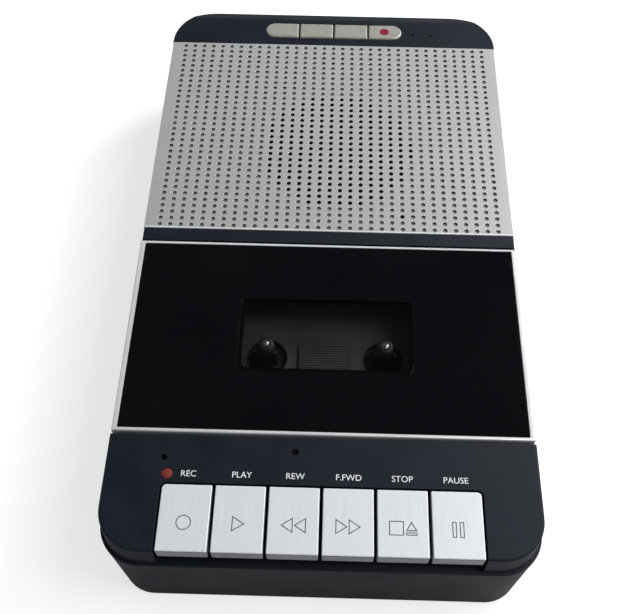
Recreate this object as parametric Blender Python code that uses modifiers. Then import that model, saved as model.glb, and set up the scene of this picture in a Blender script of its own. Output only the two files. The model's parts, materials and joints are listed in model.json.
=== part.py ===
"""Cassette recorder: a flat portable recorder with a perforated speaker plate, a lidded cassette well
and a row of six piano keys. Metres, +Z up. The origin is under the middle of the case, where its feet
stand. The keys are at -Y, the speaker and the small buttons at +Y."""

import math

import bmesh
import bpy
from mathutils import Matrix, Vector

COLLECTION = "cassette_recorder"
CUTTERS = "cutters"

# Clearances
GAP = 0.0003
OVERRUN = 0.004
WELD = 0.000001
MERGE = 0.00001

# Case outline
CASE_WIDTH = 0.1400
CASE_LENGTH = 0.2410
CASE_TOP = 0.0500
FOOT_PROUD = 0.0012
FRONT_RADIUS = 0.0140
REAR_RADIUS = 0.0180
CORNER_STEPS = 5
SIDE_DRAFT = 0.0005
LONG_DRAFT = 0.0012
RIDGE_SIDE_PROUD = 0.0005
RIDGE_LONG_PROUD = 0.0008
RIDGE_HEIGHT = 0.0021
SEAM_DROP = 0.0120
LOWER_INSET = 0.0005
LOWER_SIDE_LEAN = 0.0007
LOWER_LONG_LEAN = 0.0003
WALL = 0.0022
FLOOR = 0.0020
TOP_EDGE = 0.0008
TOP_EDGE_STEPS = 2
REAR_SLOPE_LENGTH = 0.0050
REAR_SLOPE_DROP = 0.0025

# Top face, measured from the front edge rearwards
BAY_LENGTH = 0.0222
FRONT_BAND = 0.0162
DOOR_FRONT_GAP = 0.0011
DOOR_LENGTH = 0.07655
DOOR_REAR_GAP = 0.00045
STRIP = 0.0054
REAR_BAND = 0.0190
ROOF_SKIN = 0.0030
BAND_SKIN = 0.0020
POCKET_WALL = 0.0020
BAY_WALL = 0.0015

# Screw posts of the case
BOSS_RADIUS = 0.0040
BOSS_UPPER_RADIUS = 0.0032
CASE_SCREW_RADIUS = 0.0013
CASE_SCREW_HEAD_RADIUS = 0.0026
CASE_SCREW_HEAD_HEIGHT = 0.0020
CASE_SCREW_LENGTH = 0.0190
SCREW_SEAT = 0.0240
SCREW_HOLE_MARGIN = 0.0004
FRONT_SCREW_INSET = 0.0090
FRONT_SCREW_BACK = 0.0235
REAR_SCREW_INSET = 0.0070
REAR_SCREW_BACK = 0.0325
BOSS_STEPS = 8

# Feet
FOOT_RADIUS = 0.0050
FOOT_POCKET = 0.0006
FRONT_FOOT_INSET = 0.0110
FRONT_FOOT_BACK = 0.0105
REAR_FOOT_INSET = 0.0072
REAR_FOOT_BACK = 0.0140
FOOT_STEPS = 10

# Speaker plate
GRILLE_THICKNESS = 0.0008
GRILLE_SIDE_INSET = 0.0007
HOLE_PITCH_X = 0.0040
HOLE_PITCH_Y = 0.0030
HOLE_RADIUS = 0.0009
HOLE_SIDES = 6
HOLE_EDGE_X = 0.0050
HOLE_EDGE_Y = 0.0014

# Speaker
SPEAKER_X = 0.0028
SPEAKER_BEHIND_STRIP = 0.0406
SPEAKER_OPEN_RADIUS = 0.0296
SPEAKER_RADIUS = 0.0330
SPEAKER_FLANGE = 0.0015
SPEAKER_DEPTH = 0.0123
BASKET_RADIUS = 0.0310
BASKET_WALL = 0.0010
MAGNET_RADIUS = 0.0160
MAGNET_HEIGHT = 0.0095
BASKET_STEP = 0.0012
CONE_THROAT = 0.0085
CONE_DEPTH = 0.0070
CONE_THICKNESS = 0.0006
DUST_CAP_RISE = 0.0025
SPEAKER_STEPS = 16
BASKET_WINDOWS = 4
BASKET_WINDOW_WIDTH = 0.0180

# Cassette door
DOOR_SIDE_INSET = 0.0007
DOOR_THICKNESS = 0.0034
DOOR_SEAT_GAP = 0.0006
TRIM_WIDTH = 0.0012
TRIM_ROUND = 0.0008
TRIM_ROUND_STEPS = 2
TRIM_CHAMFER = 0.0020
DOOR_SKIN = 0.0020
DOOR_RIM = 0.0020
DOOR_HINGE_BAR = 0.0070
LEDGE_THICKNESS = 0.0038
TRENCH_LENGTH = 0.0095
TRENCH_DEPTH = 0.0011
HINGE_FROM_EDGE = 0.0038
HINGE_BELOW_TOP = 0.0022
HINGE_PIN_RADIUS = 0.0006
HINGE_PIN_LENGTH = 0.0092
HINGE_EYE_RADIUS = 0.0014
HINGE_EYE_WIDTH = 0.0040
HINGE_EYE_INSET = 0.0140
HINGE_NOTCH_MARGIN = 0.0002
WINDOW_WIDTH = 0.0580
WINDOW_LENGTH = 0.0257
WINDOW_FROM_REAR = 0.02585
WINDOW_RADIUS = 0.0020
WINDOW_LAP = 0.0015
WINDOW_THICKNESS = 0.0010
WINDOW_STEPS = 3
SNAP_SLOT = 0.0010
HOOK_WIDTH = 0.0040
HOOK_THICKNESS = 0.0018
HOOK_LENGTH = 0.0048
HOOK_INSET = 0.0110
HOOK_FROM_FRONT = 0.0020
HOOK_MARGIN = 0.0010
DOOR_RIB_THICKNESS = 0.0012
DOOR_RIB_OFFSET = 0.0420

# Cassette well
WELL_HALF_WIDTH = 0.0520
WELL_FRONT_INSET = 0.0018
WELL_REAR_INSET = 0.0110
WELL_DEPTH = 0.0156
TRAY_WALL = 0.0015
TRAY_FLOOR = 0.0015
REEL_SPACING = 0.0425
REEL_BEHIND_BAND = 0.0376
REEL_HOLE_RADIUS = 0.0074
PAD_WIDTH = 0.0190
PAD_LENGTH = 0.0310
PAD_BEFORE_REELS = 0.0055
PAD_HEIGHT = 0.0012
PAD_RIB_PITCH = 0.0025
PAD_RIB_HEIGHT = 0.0005
HEAD_WINDOW_SKIN = 0.0012

# Spindles
SPINDLE_BASE_RADIUS = 0.0068
SPINDLE_BASE_HEIGHT = 0.0015
SPINDLE_RADIUS = 0.0034
SPINDLE_TIP_RADIUS = 0.0023
SPINDLE_BELOW_TOP = 0.0058
SPINDLE_TAPER = 0.0010
FIN_REACH = 0.0046
FIN_WIDTH = 0.0011
FIN_BELOW_TIP = 0.0016
FIN_ABOVE_BASE = 0.0032
FIN_COUNT = 3
REEL_SHAFT_RADIUS = 0.0012
REEL_SHAFT_HEAD_RADIUS = 0.0025
REEL_SHAFT_HEAD = 0.0012
REEL_SHAFT_PROUD = 0.0006
SPINDLE_STEPS = 10

# Keys
KEY_COUNT = 6
KEY_WIDTH = 0.0160
KEY_GAP = 0.0011
KEY_BAY_GAP = 0.00065
KEY_FRONT_INSET = 0.0002
KEY_REAR_GAP = 0.0006
KEY_HEIGHT = 0.0057
KEY_SKIN = 0.0015
KEY_WALL = 0.0013
KEY_EDGE = 0.0004
KEY_CORNER_RADIUS = 0.0015
KEY_CORNER_STEPS = 2
PIVOT_BEHIND_BAY = 0.0058
PIVOT_BELOW_TOP = 0.0095
KEY_SHAFT_RADIUS = 0.0015
LEVER_THICKNESS = 0.0030
LEVER_BOSS_RADIUS = 0.0030
LEVER_BOSS_STEPS = 6
LEVER_START = 0.0050
LEVER_SLOT_MARGIN = 0.0006
LEVER_SLOT_TOP = 0.0035
LEVER_TOP_DROP = 0.0046
LEVER_LOW_DROP = 0.0082
LEVER_FRONT_DROP = 0.0035
LEVER_KNEE_DROP = 0.0054

# Key bracket and its spring
BRACKET_THICKNESS = 0.0012
BRACKET_EAR_X = 0.0534
BRACKET_EAR_FRONT = 0.0033
BRACKET_REAR = 0.0065
BRACKET_BAR = 0.0035
BRACKET_BAR_DROP = 0.00455
BRACKET_BAR_HEIGHT = 0.0010
BRACKET_FOOT = 0.0050
BRACKET_TAB = 0.0040
BRACKET_TAB_PROUD = 0.0015
COMB_ABOVE_BOSS = 0.00035
COMB_THICKNESS = 0.00025
COMB_FINGER_WIDTH = 0.0024
COMB_FINGER_REACH = 0.0028
COMB_STRIP = 0.0016
SHAFT_END = 0.0010

# Deck plate
DECK_BELOW_TRAY = 0.0031
DECK_THICKNESS = 0.0012
DECK_HALF_WIDTH = 0.0560
DECK_FRONT = 0.0013
DECK_REAR = 0.0100
DECK_POST_FRONT_X = 0.0460
DECK_POST_REAR_X = 0.0500
DECK_POST_FRONT = 0.0073
DECK_POST_REAR = 0.0180
DECK_POST_RADIUS = 0.0030
DECK_SCREW_RADIUS = 0.0012
DECK_SCREW_HEAD_RADIUS = 0.0024
DECK_SCREW_HEAD = 0.0014
DECK_SCREW_LENGTH = 0.0100
CORNER_NAMES = ("front_left", "front_right", "rear_left", "rear_right")

# Capstan, flywheel, motor and belt
CAPSTAN_X = 0.0225
CAPSTAN_BEHIND_BAND = 0.0086
CAPSTAN_RADIUS = 0.00125
CAPSTAN_BELOW_TOP = 0.0056
BEARING_RADIUS = 0.0040
BEARING_RISE = 0.0036
FLYWHEEL_RADIUS = 0.0180
FLYWHEEL_THICKNESS = 0.0040
FLYWHEEL_HUB_RADIUS = 0.0050
FLYWHEEL_HUB_RISE = 0.0020
FLYWHEEL_DISH = 0.0012
FLYWHEEL_RIM = 0.0040
STRAP_CLEARANCE = 0.0023
STRAP_THICKNESS = 0.0012
STRAP_WIDTH = 0.0080
STRAP_SIDE_GAP = 0.0043
CAPSTAN_FOOT_GAP = 0.0013
MOTOR_X = -0.0330
MOTOR_BEHIND_BAND = 0.0241
MOTOR_RADIUS = 0.0150
MOTOR_NECK_RADIUS = 0.0045
MOTOR_NECK = 0.0010
MOTOR_SHAFT_RADIUS = 0.0010
MOTOR_SHAFT_DEPTH = 0.0060
PULLEY_RADIUS = 0.0035
PULLEY_FLANGE_RADIUS = 0.0046
PULLEY_FLANGE = 0.0009
PULLEY_CLEARANCE = 0.0010
BELT_THICKNESS = 0.0012
BELT_ARC_STEPS = 7
WHEEL_STEPS = 20

# Heads and pinch roller
HEAD_PLATE_THICKNESS = 0.0012
HEAD_PLATE_LEFT = 0.0385
HEAD_PLATE_RIGHT = 0.0170
HEAD_PLATE_FRONT = 0.0015
HEAD_PLATE_REAR = 0.0190
HEAD_TRAVEL = 0.0035
HEAD_BLOCK_HEIGHT = 0.0078
PLAY_HEAD_WIDTH = 0.0120
PLAY_HEAD_DEPTH = 0.0045
ERASE_HEAD_WIDTH = 0.0070
ERASE_HEAD_DEPTH = 0.0038
ERASE_HEAD_X = -0.0155
HEAD_FACE = 0.0178
HEAD_NOSE = 0.0018
HEAD_NOSE_STEPS = 2
GUIDE_X_LEFT = -0.0340
GUIDE_X_RIGHT = 0.0125
GUIDE_BEHIND_BAY = 0.0103
GUIDE_RADIUS = 0.0026
GUIDE_PIN_RADIUS = 0.0014
GUIDE_CAP = 0.0008
ROLLER_RADIUS = 0.0045
ROLLER_HEIGHT = 0.0060
ROLLER_OFF = 0.0034
ROLLER_PIN_RADIUS = 0.0009
ARM_LENGTH = 0.0140
ARM_THICKNESS = 0.0010
ARM_END_RADIUS = 0.0026
ARM_POST_RADIUS = 0.0014
ARM_POST_SHOULDER = 0.0020
ARM_POST_CAP = 0.0008
ARM_REST_DEG = 180.0

# Rear buttons
BUTTON_COUNT = 4
BUTTON_ROW_WIDTH = 0.0596
BUTTON_LENGTH = 0.0085
BUTTON_GAP = 0.0006
BUTTON_PROUD = 0.0006
BUTTON_FLANGE = 0.0011
BUTTON_FLANGE_REACH = 0.0008
BUTTON_FROM_REAR = 0.01055
BUTTON_END_STEPS = 4
BUTTON_TRAVEL_ROOM = 0.0006
BUTTON_BOARD_DROP = 0.0105
BOARD_THICKNESS = 0.0012
BUTTON_BOARD_LEFT = 0.0560
BUTTON_BOARD_RIGHT = 0.0520
BUTTON_BOARD_FRONT = 0.0205
BUTTON_BOARD_REAR = 0.0045
SWITCH_WIDTH = 0.0060
BOARD_POST_RADIUS = 0.0025
BOARD_POST_X = 0.0485
BOARD_POST_FROM_REAR = 0.0170

# Lamps and microphone
STATUS_LED_X = (0.0348, 0.0426)
STATUS_LED_FROM_REAR = 0.0118
STATUS_LED_RADIUS = 0.00045
STATUS_LED_BASE_RADIUS = 0.0014
STATUS_HOLE_RADIUS = 0.00075
RECORD_LED_X = -0.0496
RECORD_LED_BEHIND_BAY = 0.0030
RECORD_LED_RADIUS = 0.0016
LED_PROUD = 0.0001
RECORD_LED_DEPTH = 0.0040
POWER_LED_X = -0.0088
POWER_LED_BEHIND_BAY = 0.0112
POWER_LED_RADIUS = 0.00085
LAMP_SUNK = 0.0006
POWER_LED_DEPTH = 0.0036
MIC_X = -0.0512
MIC_BEHIND_BAY = 0.0084
MIC_HOLE_RADIUS = 0.00105
MIC_RADIUS = 0.0030
MIC_HEIGHT = 0.0019
LAMP_STEPS = 8

# Main board and its controls
MAIN_BOARD_Z = 0.0080
MAIN_BOARD_THICKNESS = 0.0016
MAIN_BOARD_LEFT_ROOM = 0.0200
MAIN_BOARD_RIGHT_ROOM = 0.0040
MAIN_BOARD_BEHIND_STRIP = 0.0036
MAIN_BOARD_REAR_GAP = 0.0022
BOARD_BOSS_RADIUS = 0.0025
BOARD_BOSS_INSET = 0.0050
CAN_RADIUS = 0.0050
CAN_HEIGHT = 0.0100
CAN_PITCH = 0.0130
CAN_COUNT = 3
CHIP_WIDTH = 0.0070
CHIP_LENGTH = 0.0160
CHIP_HEIGHT = 0.0020
VOLUME_RADIUS = 0.0110
VOLUME_THICKNESS = 0.0030
VOLUME_TEETH = 12
VOLUME_NOTCH = 0.0005
VOLUME_BEHIND_STRIP = 0.0360
VOLUME_LIFT = 0.0034
VOLUME_BODY = 0.0100
VOLUME_HOLE_RADIUS = 0.0016
VOLUME_STEM_RADIUS = 0.0013
VOLUME_SLOT_MARGIN = 0.0006
JACK_RADIUS = 0.0029
JACK_BORE = 0.0018
JACK_HOLE_MARGIN = 0.0003
JACK_BODY = 0.0080
JACK_BODY_LENGTH = 0.0100
JACK_BACK = 0.0160
JACK_SUNK = 0.0004
EAR_JACK_AHEAD = 0.0160
JACK_PITCH = 0.0100
DC_JACK_BEHIND = 0.0157
DC_PIN_RADIUS = 0.0006
JACK_STEPS = 8

# Rear socket
USB_X = -0.0430
USB_WIDTH = 0.0134
USB_HEIGHT = 0.0056
USB_LENGTH = 0.0140
USB_SHELL = 0.0004
USB_TONGUE = 0.0018
USB_TONGUE_LENGTH = 0.0090
USB_SUNK = 0.0006
USB_MARGIN = 0.0003

# Battery bay
CELL_DIAMETER = 0.0262
CELL_LENGTH = 0.0500
BAY_CONTACT_ROOM = 0.0066
BAY_CELL_ROOM = 0.0011
BAY_SHELL = 0.0015
HATCH_SIDE_GAP = 0.0020
HATCH_LIP = 0.0011
HATCH_FLOOR = 0.0016
HATCH_RIM = 0.0020
HATCH_GROOVES = 5
HATCH_GROOVE_PITCH = 0.0030
HATCH_GROOVE_WIDTH = 0.0012
HATCH_GROOVE_DEPTH = 0.0006
HATCH_GROOVE_LENGTH = 0.0300
HATCH_GROOVE_FROM_REAR = 0.0100
CONTACT_THICKNESS = 0.0005
CONTACT_HEIGHT = 0.0140
CONTACT_WIDTH = 0.0120
SPRING_WIRE = 0.0004
SPRING_TURNS = 3.0
SPRING_POINTS = 7
SPRING_WIDE = 0.0050
SPRING_NARROW = 0.0028
SPRING_LENGTH = 0.0046

# Levels worked out from the sizes above
HALF_WIDTH = CASE_WIDTH / 2
HALF_LENGTH = CASE_LENGTH / 2
SEAM_Z = CASE_TOP - SEAM_DROP
UPPER_BOTTOM = SEAM_Z + GAP
RIDGE_TOP = UPPER_BOTTOM + RIDGE_HEIGHT
FLOOR_TOP = FOOT_PROUD + FLOOR
RIM_HALF_WIDTH = HALF_WIDTH + SIDE_DRAFT
RIM_HALF_LENGTH = HALF_LENGTH + LONG_DRAFT
RIDGE_HALF_WIDTH = RIM_HALF_WIDTH + RIDGE_SIDE_PROUD
RIDGE_HALF_LENGTH = RIM_HALF_LENGTH + RIDGE_LONG_PROUD
LOWER_HALF_WIDTH = RIDGE_HALF_WIDTH - LOWER_INSET
LOWER_HALF_LENGTH = RIDGE_HALF_LENGTH - LOWER_INSET
BASE_HALF_WIDTH = LOWER_HALF_WIDTH - LOWER_SIDE_LEAN
BASE_HALF_LENGTH = LOWER_HALF_LENGTH - LOWER_LONG_LEAN
INNER_HALF_WIDTH = BASE_HALF_WIDTH - WALL
UPPER_INNER_HALF = HALF_WIDTH - WALL

# Places along the case
BAY_REAR = -HALF_LENGTH + BAY_LENGTH
POCKET_FRONT = BAY_REAR + FRONT_BAND
DOOR_FRONT = POCKET_FRONT + DOOR_FRONT_GAP
DOOR_REAR = DOOR_FRONT + DOOR_LENGTH
POCKET_REAR = DOOR_REAR + DOOR_REAR_GAP
SEAT_FRONT = POCKET_REAR + STRIP
SEAT_REAR = HALF_LENGTH - REAR_BAND
SPEAKER_Y = SEAT_FRONT + SPEAKER_BEHIND_STRIP
REEL_Y = POCKET_FRONT + REEL_BEHIND_BAND
CAPSTAN_Y = POCKET_FRONT + CAPSTAN_BEHIND_BAND
MOTOR_Y = POCKET_FRONT + MOTOR_BEHIND_BAND
WELL_FRONT = POCKET_FRONT + WELL_FRONT_INSET
WELL_REAR = POCKET_REAR - WELL_REAR_INSET
BUTTON_Y = HALF_LENGTH - BUTTON_FROM_REAR
HINGE_Y = DOOR_REAR - HINGE_FROM_EDGE
HINGE_Z = CASE_TOP - HINGE_BELOW_TOP
PIVOT_Y = BAY_REAR + PIVOT_BEHIND_BAY
PIVOT_Z = CASE_TOP - PIVOT_BELOW_TOP

# Levels inside the case
SEAT_Z = CASE_TOP - GRILLE_THICKNESS - GAP
ROOF_Z = CASE_TOP - ROOF_SKIN
BAND_ROOF_Z = CASE_TOP - BAND_SKIN
DOOR_BOTTOM = CASE_TOP - DOOR_THICKNESS
LEDGE_Z = DOOR_BOTTOM - DOOR_SEAT_GAP
LEDGE_BOTTOM = LEDGE_Z - LEDGE_THICKNESS
TRENCH_Z = LEDGE_Z - TRENCH_DEPTH
WELL_FLOOR_Z = CASE_TOP - WELL_DEPTH
TRAY_BOTTOM = WELL_FLOOR_Z - TRAY_FLOOR
DECK_TOP = TRAY_BOTTOM - DECK_BELOW_TRAY
DECK_BOTTOM = DECK_TOP - DECK_THICKNESS
STRAP_Z = FLOOR_TOP + STRAP_CLEARANCE
FLYWHEEL_Z = STRAP_Z + STRAP_THICKNESS + CAPSTAN_FOOT_GAP
BELT_Z = FLYWHEEL_Z + PULLEY_FLANGE + GAP
BELT_HEIGHT = FLYWHEEL_THICKNESS - 2 * (PULLEY_FLANGE + GAP)
HEAD_PLATE_Z = WELL_FLOOR_Z + GAP
HEAD_PLATE_TOP = HEAD_PLATE_Z + HEAD_PLATE_THICKNESS
KEY_FRONT = -HALF_LENGTH + KEY_FRONT_INSET
KEY_REAR = BAY_REAR - KEY_REAR_GAP
KEY_BOTTOM = CASE_TOP - KEY_HEIGHT
KEY_PITCH = KEY_WIDTH + KEY_GAP
KEY_ROW_HALF = (KEY_COUNT * KEY_PITCH - KEY_GAP) / 2
BAY_HALF = KEY_ROW_HALF + KEY_BAY_GAP
BAY_BLOCK_HALF = BAY_HALF + BAY_WALL
BUTTON_BOARD_Z = CASE_TOP - BUTTON_BOARD_DROP
BUTTON_BOARD_TOP = BUTTON_BOARD_Z + BOARD_THICKNESS
BUTTON_BOTTOM = ROOF_Z - GAP - BUTTON_FLANGE
CELL_BAY_HALF = CELL_LENGTH + BAY_CONTACT_ROOM
CELL_BAY_HEIGHT = CELL_DIAMETER + BAY_CELL_ROOM
CELL_PITCH = CELL_DIAMETER + BAY_CELL_ROOM
CELL_BAY_REAR = BASE_HALF_LENGTH - WALL - BAY_SHELL
CELL_BAY_FRONT = CELL_BAY_REAR - 2 * CELL_PITCH
CELL_BAY_ROOF = FLOOR_TOP + CELL_BAY_HEIGHT
HATCH_HALF = CELL_BAY_HALF - HATCH_SIDE_GAP
HATCH_LIP_Z = FLOOR_TOP + GAP
HATCH_TOP = HATCH_LIP_Z + HATCH_LIP
MAIN_BOARD_LEFT = HALF_WIDTH - MAIN_BOARD_LEFT_ROOM
MAIN_BOARD_RIGHT = HALF_WIDTH - MAIN_BOARD_RIGHT_ROOM
MAIN_BOARD_FRONT = SEAT_FRONT + MAIN_BOARD_BEHIND_STRIP
MAIN_BOARD_REAR = CELL_BAY_FRONT - BAY_SHELL - MAIN_BOARD_REAR_GAP
MAIN_BOARD_TOP = MAIN_BOARD_Z + MAIN_BOARD_THICKNESS
VOLUME_X = RIDGE_HALF_WIDTH - VOLUME_RADIUS
VOLUME_Y = SEAT_FRONT + VOLUME_BEHIND_STRIP
VOLUME_Z = MAIN_BOARD_TOP + VOLUME_LIFT
JACK_Z = MAIN_BOARD_TOP + GAP + JACK_BODY / 2

CASE_SCREWS = (
    (-HALF_WIDTH + FRONT_SCREW_INSET, -HALF_LENGTH + FRONT_SCREW_BACK),
    (HALF_WIDTH - FRONT_SCREW_INSET, -HALF_LENGTH + FRONT_SCREW_BACK),
    (-HALF_WIDTH + REAR_SCREW_INSET, HALF_LENGTH - REAR_SCREW_BACK),
    (HALF_WIDTH - REAR_SCREW_INSET, HALF_LENGTH - REAR_SCREW_BACK),
)
FEET = (
    (-HALF_WIDTH + FRONT_FOOT_INSET, -HALF_LENGTH + FRONT_FOOT_BACK),
    (HALF_WIDTH - FRONT_FOOT_INSET, -HALF_LENGTH + FRONT_FOOT_BACK),
    (-HALF_WIDTH + REAR_FOOT_INSET, HALF_LENGTH - REAR_FOOT_BACK),
    (HALF_WIDTH - REAR_FOOT_INSET, HALF_LENGTH - REAR_FOOT_BACK),
)
DECK_POSTS = (
    (-DECK_POST_FRONT_X, BAY_REAR + DECK_POST_FRONT),
    (DECK_POST_FRONT_X, BAY_REAR + DECK_POST_FRONT),
    (-DECK_POST_REAR_X, POCKET_REAR - DECK_POST_REAR),
    (DECK_POST_REAR_X, POCKET_REAR - DECK_POST_REAR),
)
BOARD_BOSSES = (
    (-MAIN_BOARD_LEFT + BOARD_BOSS_INSET, MAIN_BOARD_FRONT + BOARD_BOSS_INSET),
    (-MAIN_BOARD_LEFT + BOARD_BOSS_INSET, MAIN_BOARD_REAR - BOARD_BOSS_INSET),
    (MAIN_BOARD_LEFT - BOARD_BOSS_INSET, MAIN_BOARD_FRONT + BOARD_BOSS_INSET),
    (MAIN_BOARD_LEFT - BOARD_BOSS_INSET, MAIN_BOARD_REAR - BOARD_BOSS_INSET),
)
BUTTON_BOARD_POSTS = (
    (-BOARD_POST_X, HALF_LENGTH - BOARD_POST_FROM_REAR),
    (BOARD_POST_X, HALF_LENGTH - BOARD_POST_FROM_REAR),
)

# Finishes: colour, roughness, metallic
FINISHES = {
    "case_plastic": ((0.022, 0.025, 0.032), 0.45, 0.0),
    "black_plastic": ((0.010, 0.010, 0.011), 0.50, 0.0),
    "gloss_black": ((0.004, 0.004, 0.005), 0.08, 0.0),
    "silver_paint": ((0.62, 0.63, 0.64), 0.35, 0.6),
    "key_paint": ((0.78, 0.79, 0.80), 0.32, 0.4),
    "smoked_clear": ((0.03, 0.03, 0.03), 0.05, 0.0),
    "steel": ((0.56, 0.57, 0.58), 0.30, 1.0),
    "brass": ((0.70, 0.55, 0.28), 0.35, 1.0),
    "rubber": ((0.015, 0.015, 0.015), 0.80, 0.0),
    "board_green": ((0.02, 0.12, 0.05), 0.55, 0.0),
    "paper": ((0.03, 0.03, 0.03), 0.85, 0.0),
    "red_lens": ((0.45, 0.03, 0.03), 0.20, 0.0),
    "dark_lens": ((0.02, 0.01, 0.01), 0.15, 0.0),
    "white_plastic": ((0.70, 0.70, 0.68), 0.50, 0.0),
}


# Scene
def clear_scene():
    for obj in list(bpy.data.objects):
        bpy.data.objects.remove(obj)


def new_collection(name):
    collection = bpy.data.collections.new(name)
    bpy.context.scene.collection.children.link(collection)
    return collection


def link(name, mesh):
    obj = bpy.data.objects.new(name, mesh)
    bpy.data.collections[COLLECTION].objects.link(obj)
    return obj


def from_bmesh(name, bm):
    mesh = bpy.data.meshes.new(name)
    bm.to_mesh(mesh)
    bm.free()
    return link(name, mesh)


def paint(obj, finish):
    colour, roughness, metallic = FINISHES[finish]
    material = bpy.data.materials.new(obj.name + "_finish")
    material.use_nodes = True
    shader = material.node_tree.nodes["Principled BSDF"]
    shader.inputs["Base Color"].default_value = (*colour, 1)
    shader.inputs["Roughness"].default_value = roughness
    shader.inputs["Metallic"].default_value = metallic
    material.diffuse_color = (*colour, 1)
    obj.data.materials.clear()
    obj.data.materials.append(material)
    return obj


def as_cutter(obj):
    """Moves a shape to the cutters, which are never part of the model."""
    bpy.data.collections[COLLECTION].objects.unlink(obj)
    bpy.data.collections[CUTTERS].objects.link(obj)
    obj.hide_render = True
    obj.display_type = "WIRE"
    return obj


def combine(obj, tool, operation):
    modifier = obj.modifiers.new(tool.name, "BOOLEAN")
    modifier.operation = operation
    modifier.solver = "EXACT"
    modifier.object = as_cutter(tool)
    return obj


def cut(obj, *tools):
    for tool in tools:
        combine(obj, tool, "DIFFERENCE")
    return obj


def join(obj, *tools):
    for tool in tools:
        combine(obj, tool, "UNION")
    return obj


def baked(obj):
    """The object's evaluated mesh, welded and facing out. The object itself is removed."""
    depsgraph = bpy.context.evaluated_depsgraph_get()
    mesh = bpy.data.meshes.new_from_object(obj.evaluated_get(depsgraph))
    mesh.transform(obj.matrix_world)
    bpy.data.objects.remove(obj)
    bm = bmesh.new()
    bm.from_mesh(mesh)
    bmesh.ops.remove_doubles(bm, verts=bm.verts, dist=WELD)
    bmesh.ops.recalc_face_normals(bm, faces=bm.faces)
    if bm.calc_volume(signed=True) < 0:
        bmesh.ops.reverse_faces(bm, faces=bm.faces)
    bm.to_mesh(mesh)
    bm.free()
    return mesh


def smooth(obj, angle=35.0):
    obj.data.shade_smooth()
    obj.data.set_sharp_from_angle(angle=math.radians(angle))
    return obj


def set_origin(obj, point):
    """Puts the origin at a point of the case without moving the shape."""
    obj.data.transform(Matrix.Translation(-Vector(point)))
    obj.location = point
    return obj


def centre_origin(obj):
    corners = [Vector(c) for c in obj.bound_box]
    low = Vector([min(c[i] for c in corners) for i in range(3)])
    high = Vector([max(c[i] for c in corners) for i in range(3)])
    return set_origin(obj, (low + high) / 2)


# Shapes
def add_box(bm, low, high):
    size = Vector(high) - Vector(low)
    centre = (Vector(high) + Vector(low)) / 2
    matrix = Matrix.Translation(centre) @ Matrix.Diagonal((*size, 1))
    return bmesh.ops.create_cube(bm, size=1, matrix=matrix)["verts"]


def box(name, low, high):
    bm = bmesh.new()
    add_box(bm, low, high)
    return from_bmesh(name, bm)


def boxes(name, corners):
    """Separate boxes in one object, each (low, high)."""
    bm = bmesh.new()
    for low, high in corners:
        add_box(bm, low, high)
    return from_bmesh(name, bm)


def add_rod(bm, start, end, radius, steps):
    start, end = Vector(start), Vector(end)
    turn = (end - start).to_track_quat("Z", "Y").to_matrix().to_4x4()
    bmesh.ops.create_cone(
        bm,
        cap_ends=True,
        segments=steps,
        radius1=radius,
        radius2=radius,
        depth=(end - start).length,
        matrix=Matrix.Translation((start + end) / 2) @ turn,
    )


def rods(name, spans, radius, steps):
    """Round rods in one object, each (start, end)."""
    bm = bmesh.new()
    for start, end in spans:
        add_rod(bm, start, end, radius, steps)
    return from_bmesh(name, bm)


def uprights(name, places, low_z, high_z, radius, steps):
    return rods(name, [((x, y, low_z), (x, y, high_z)) for x, y in places], radius, steps)


def upright_edges(bm):
    return [e for e in bm.edges if e.verts[0].co.xy == e.verts[1].co.xy]


def bevel(bm, edges, offset, steps):
    bmesh.ops.bevel(
        bm,
        geom=edges,
        offset=offset,
        offset_type="OFFSET",
        segments=steps,
        profile=0.5,
        affect="EDGES",
        material=-1,
        clamp_overlap=False,
    )


def moulding(name, low, high, low_z, high_z, front_radius, rear_radius, top_edge=0):
    """A block with round upright corners that leans from the low outline to the high one.
    An outline is (half width, front y, rear y)."""
    bm = bmesh.new()
    half, front, rear = low
    add_box(bm, (-half, front, low_z), (half, rear, high_z))
    middle = (front + rear) / 2
    for radius, ahead in ((front_radius, True), (rear_radius, False)):
        edges = [e for e in upright_edges(bm) if (e.verts[0].co.y < middle) == ahead]
        if radius:
            bevel(bm, edges, radius, CORNER_STEPS)
    top = [v for v in bm.verts if v.co.z > (low_z + high_z) / 2]
    for vert in top:
        vert.co.x *= high[0] / half
        share = (vert.co.y - front) / (rear - front)
        vert.co.y = high[1] + share * (high[2] - high[1])
    if top_edge:
        edges = [e for e in bm.edges if e.verts[0] in top and e.verts[1] in top]
        bevel(bm, edges, top_edge, TOP_EDGE_STEPS)
    return from_bmesh(name, bm)


def even_moulding(name, low_half, high_half, low_z, high_z, front_radius, rear_radius, top_edge=0):
    """A moulding that is centred on the case, from (half width, half length) at each level."""
    low = (low_half[0], -low_half[1], low_half[1])
    high = (high_half[0], -high_half[1], high_half[1])
    return moulding(name, low, high, low_z, high_z, front_radius, rear_radius, top_edge)


def turned_mesh(name, profile, steps, bored=False):
    """A turned solid about Z, from (radius, z) points down its outer side. A bored one closes on itself."""
    count = len(profile)
    edges = [(i, i + 1) for i in range(count - 1)]
    if bored:
        edges.append((count - 1, 0))
    mesh = bpy.data.meshes.new(name)
    mesh.from_pydata([(radius, 0, z) for radius, z in profile], edges, [])
    obj = link(name, mesh)
    screw = obj.modifiers.new("turn", "SCREW")
    screw.axis = "Z"
    screw.steps = steps
    screw.render_steps = steps
    screw.use_merge_vertices = True
    screw.merge_threshold = MERGE
    return baked(obj)


def turned(name, profile, steps, place=(0, 0), bored=False):
    mesh = turned_mesh(name, profile, steps, bored)
    mesh.transform(Matrix.Translation((*place, 0)))
    return smooth(link(name, mesh))


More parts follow.
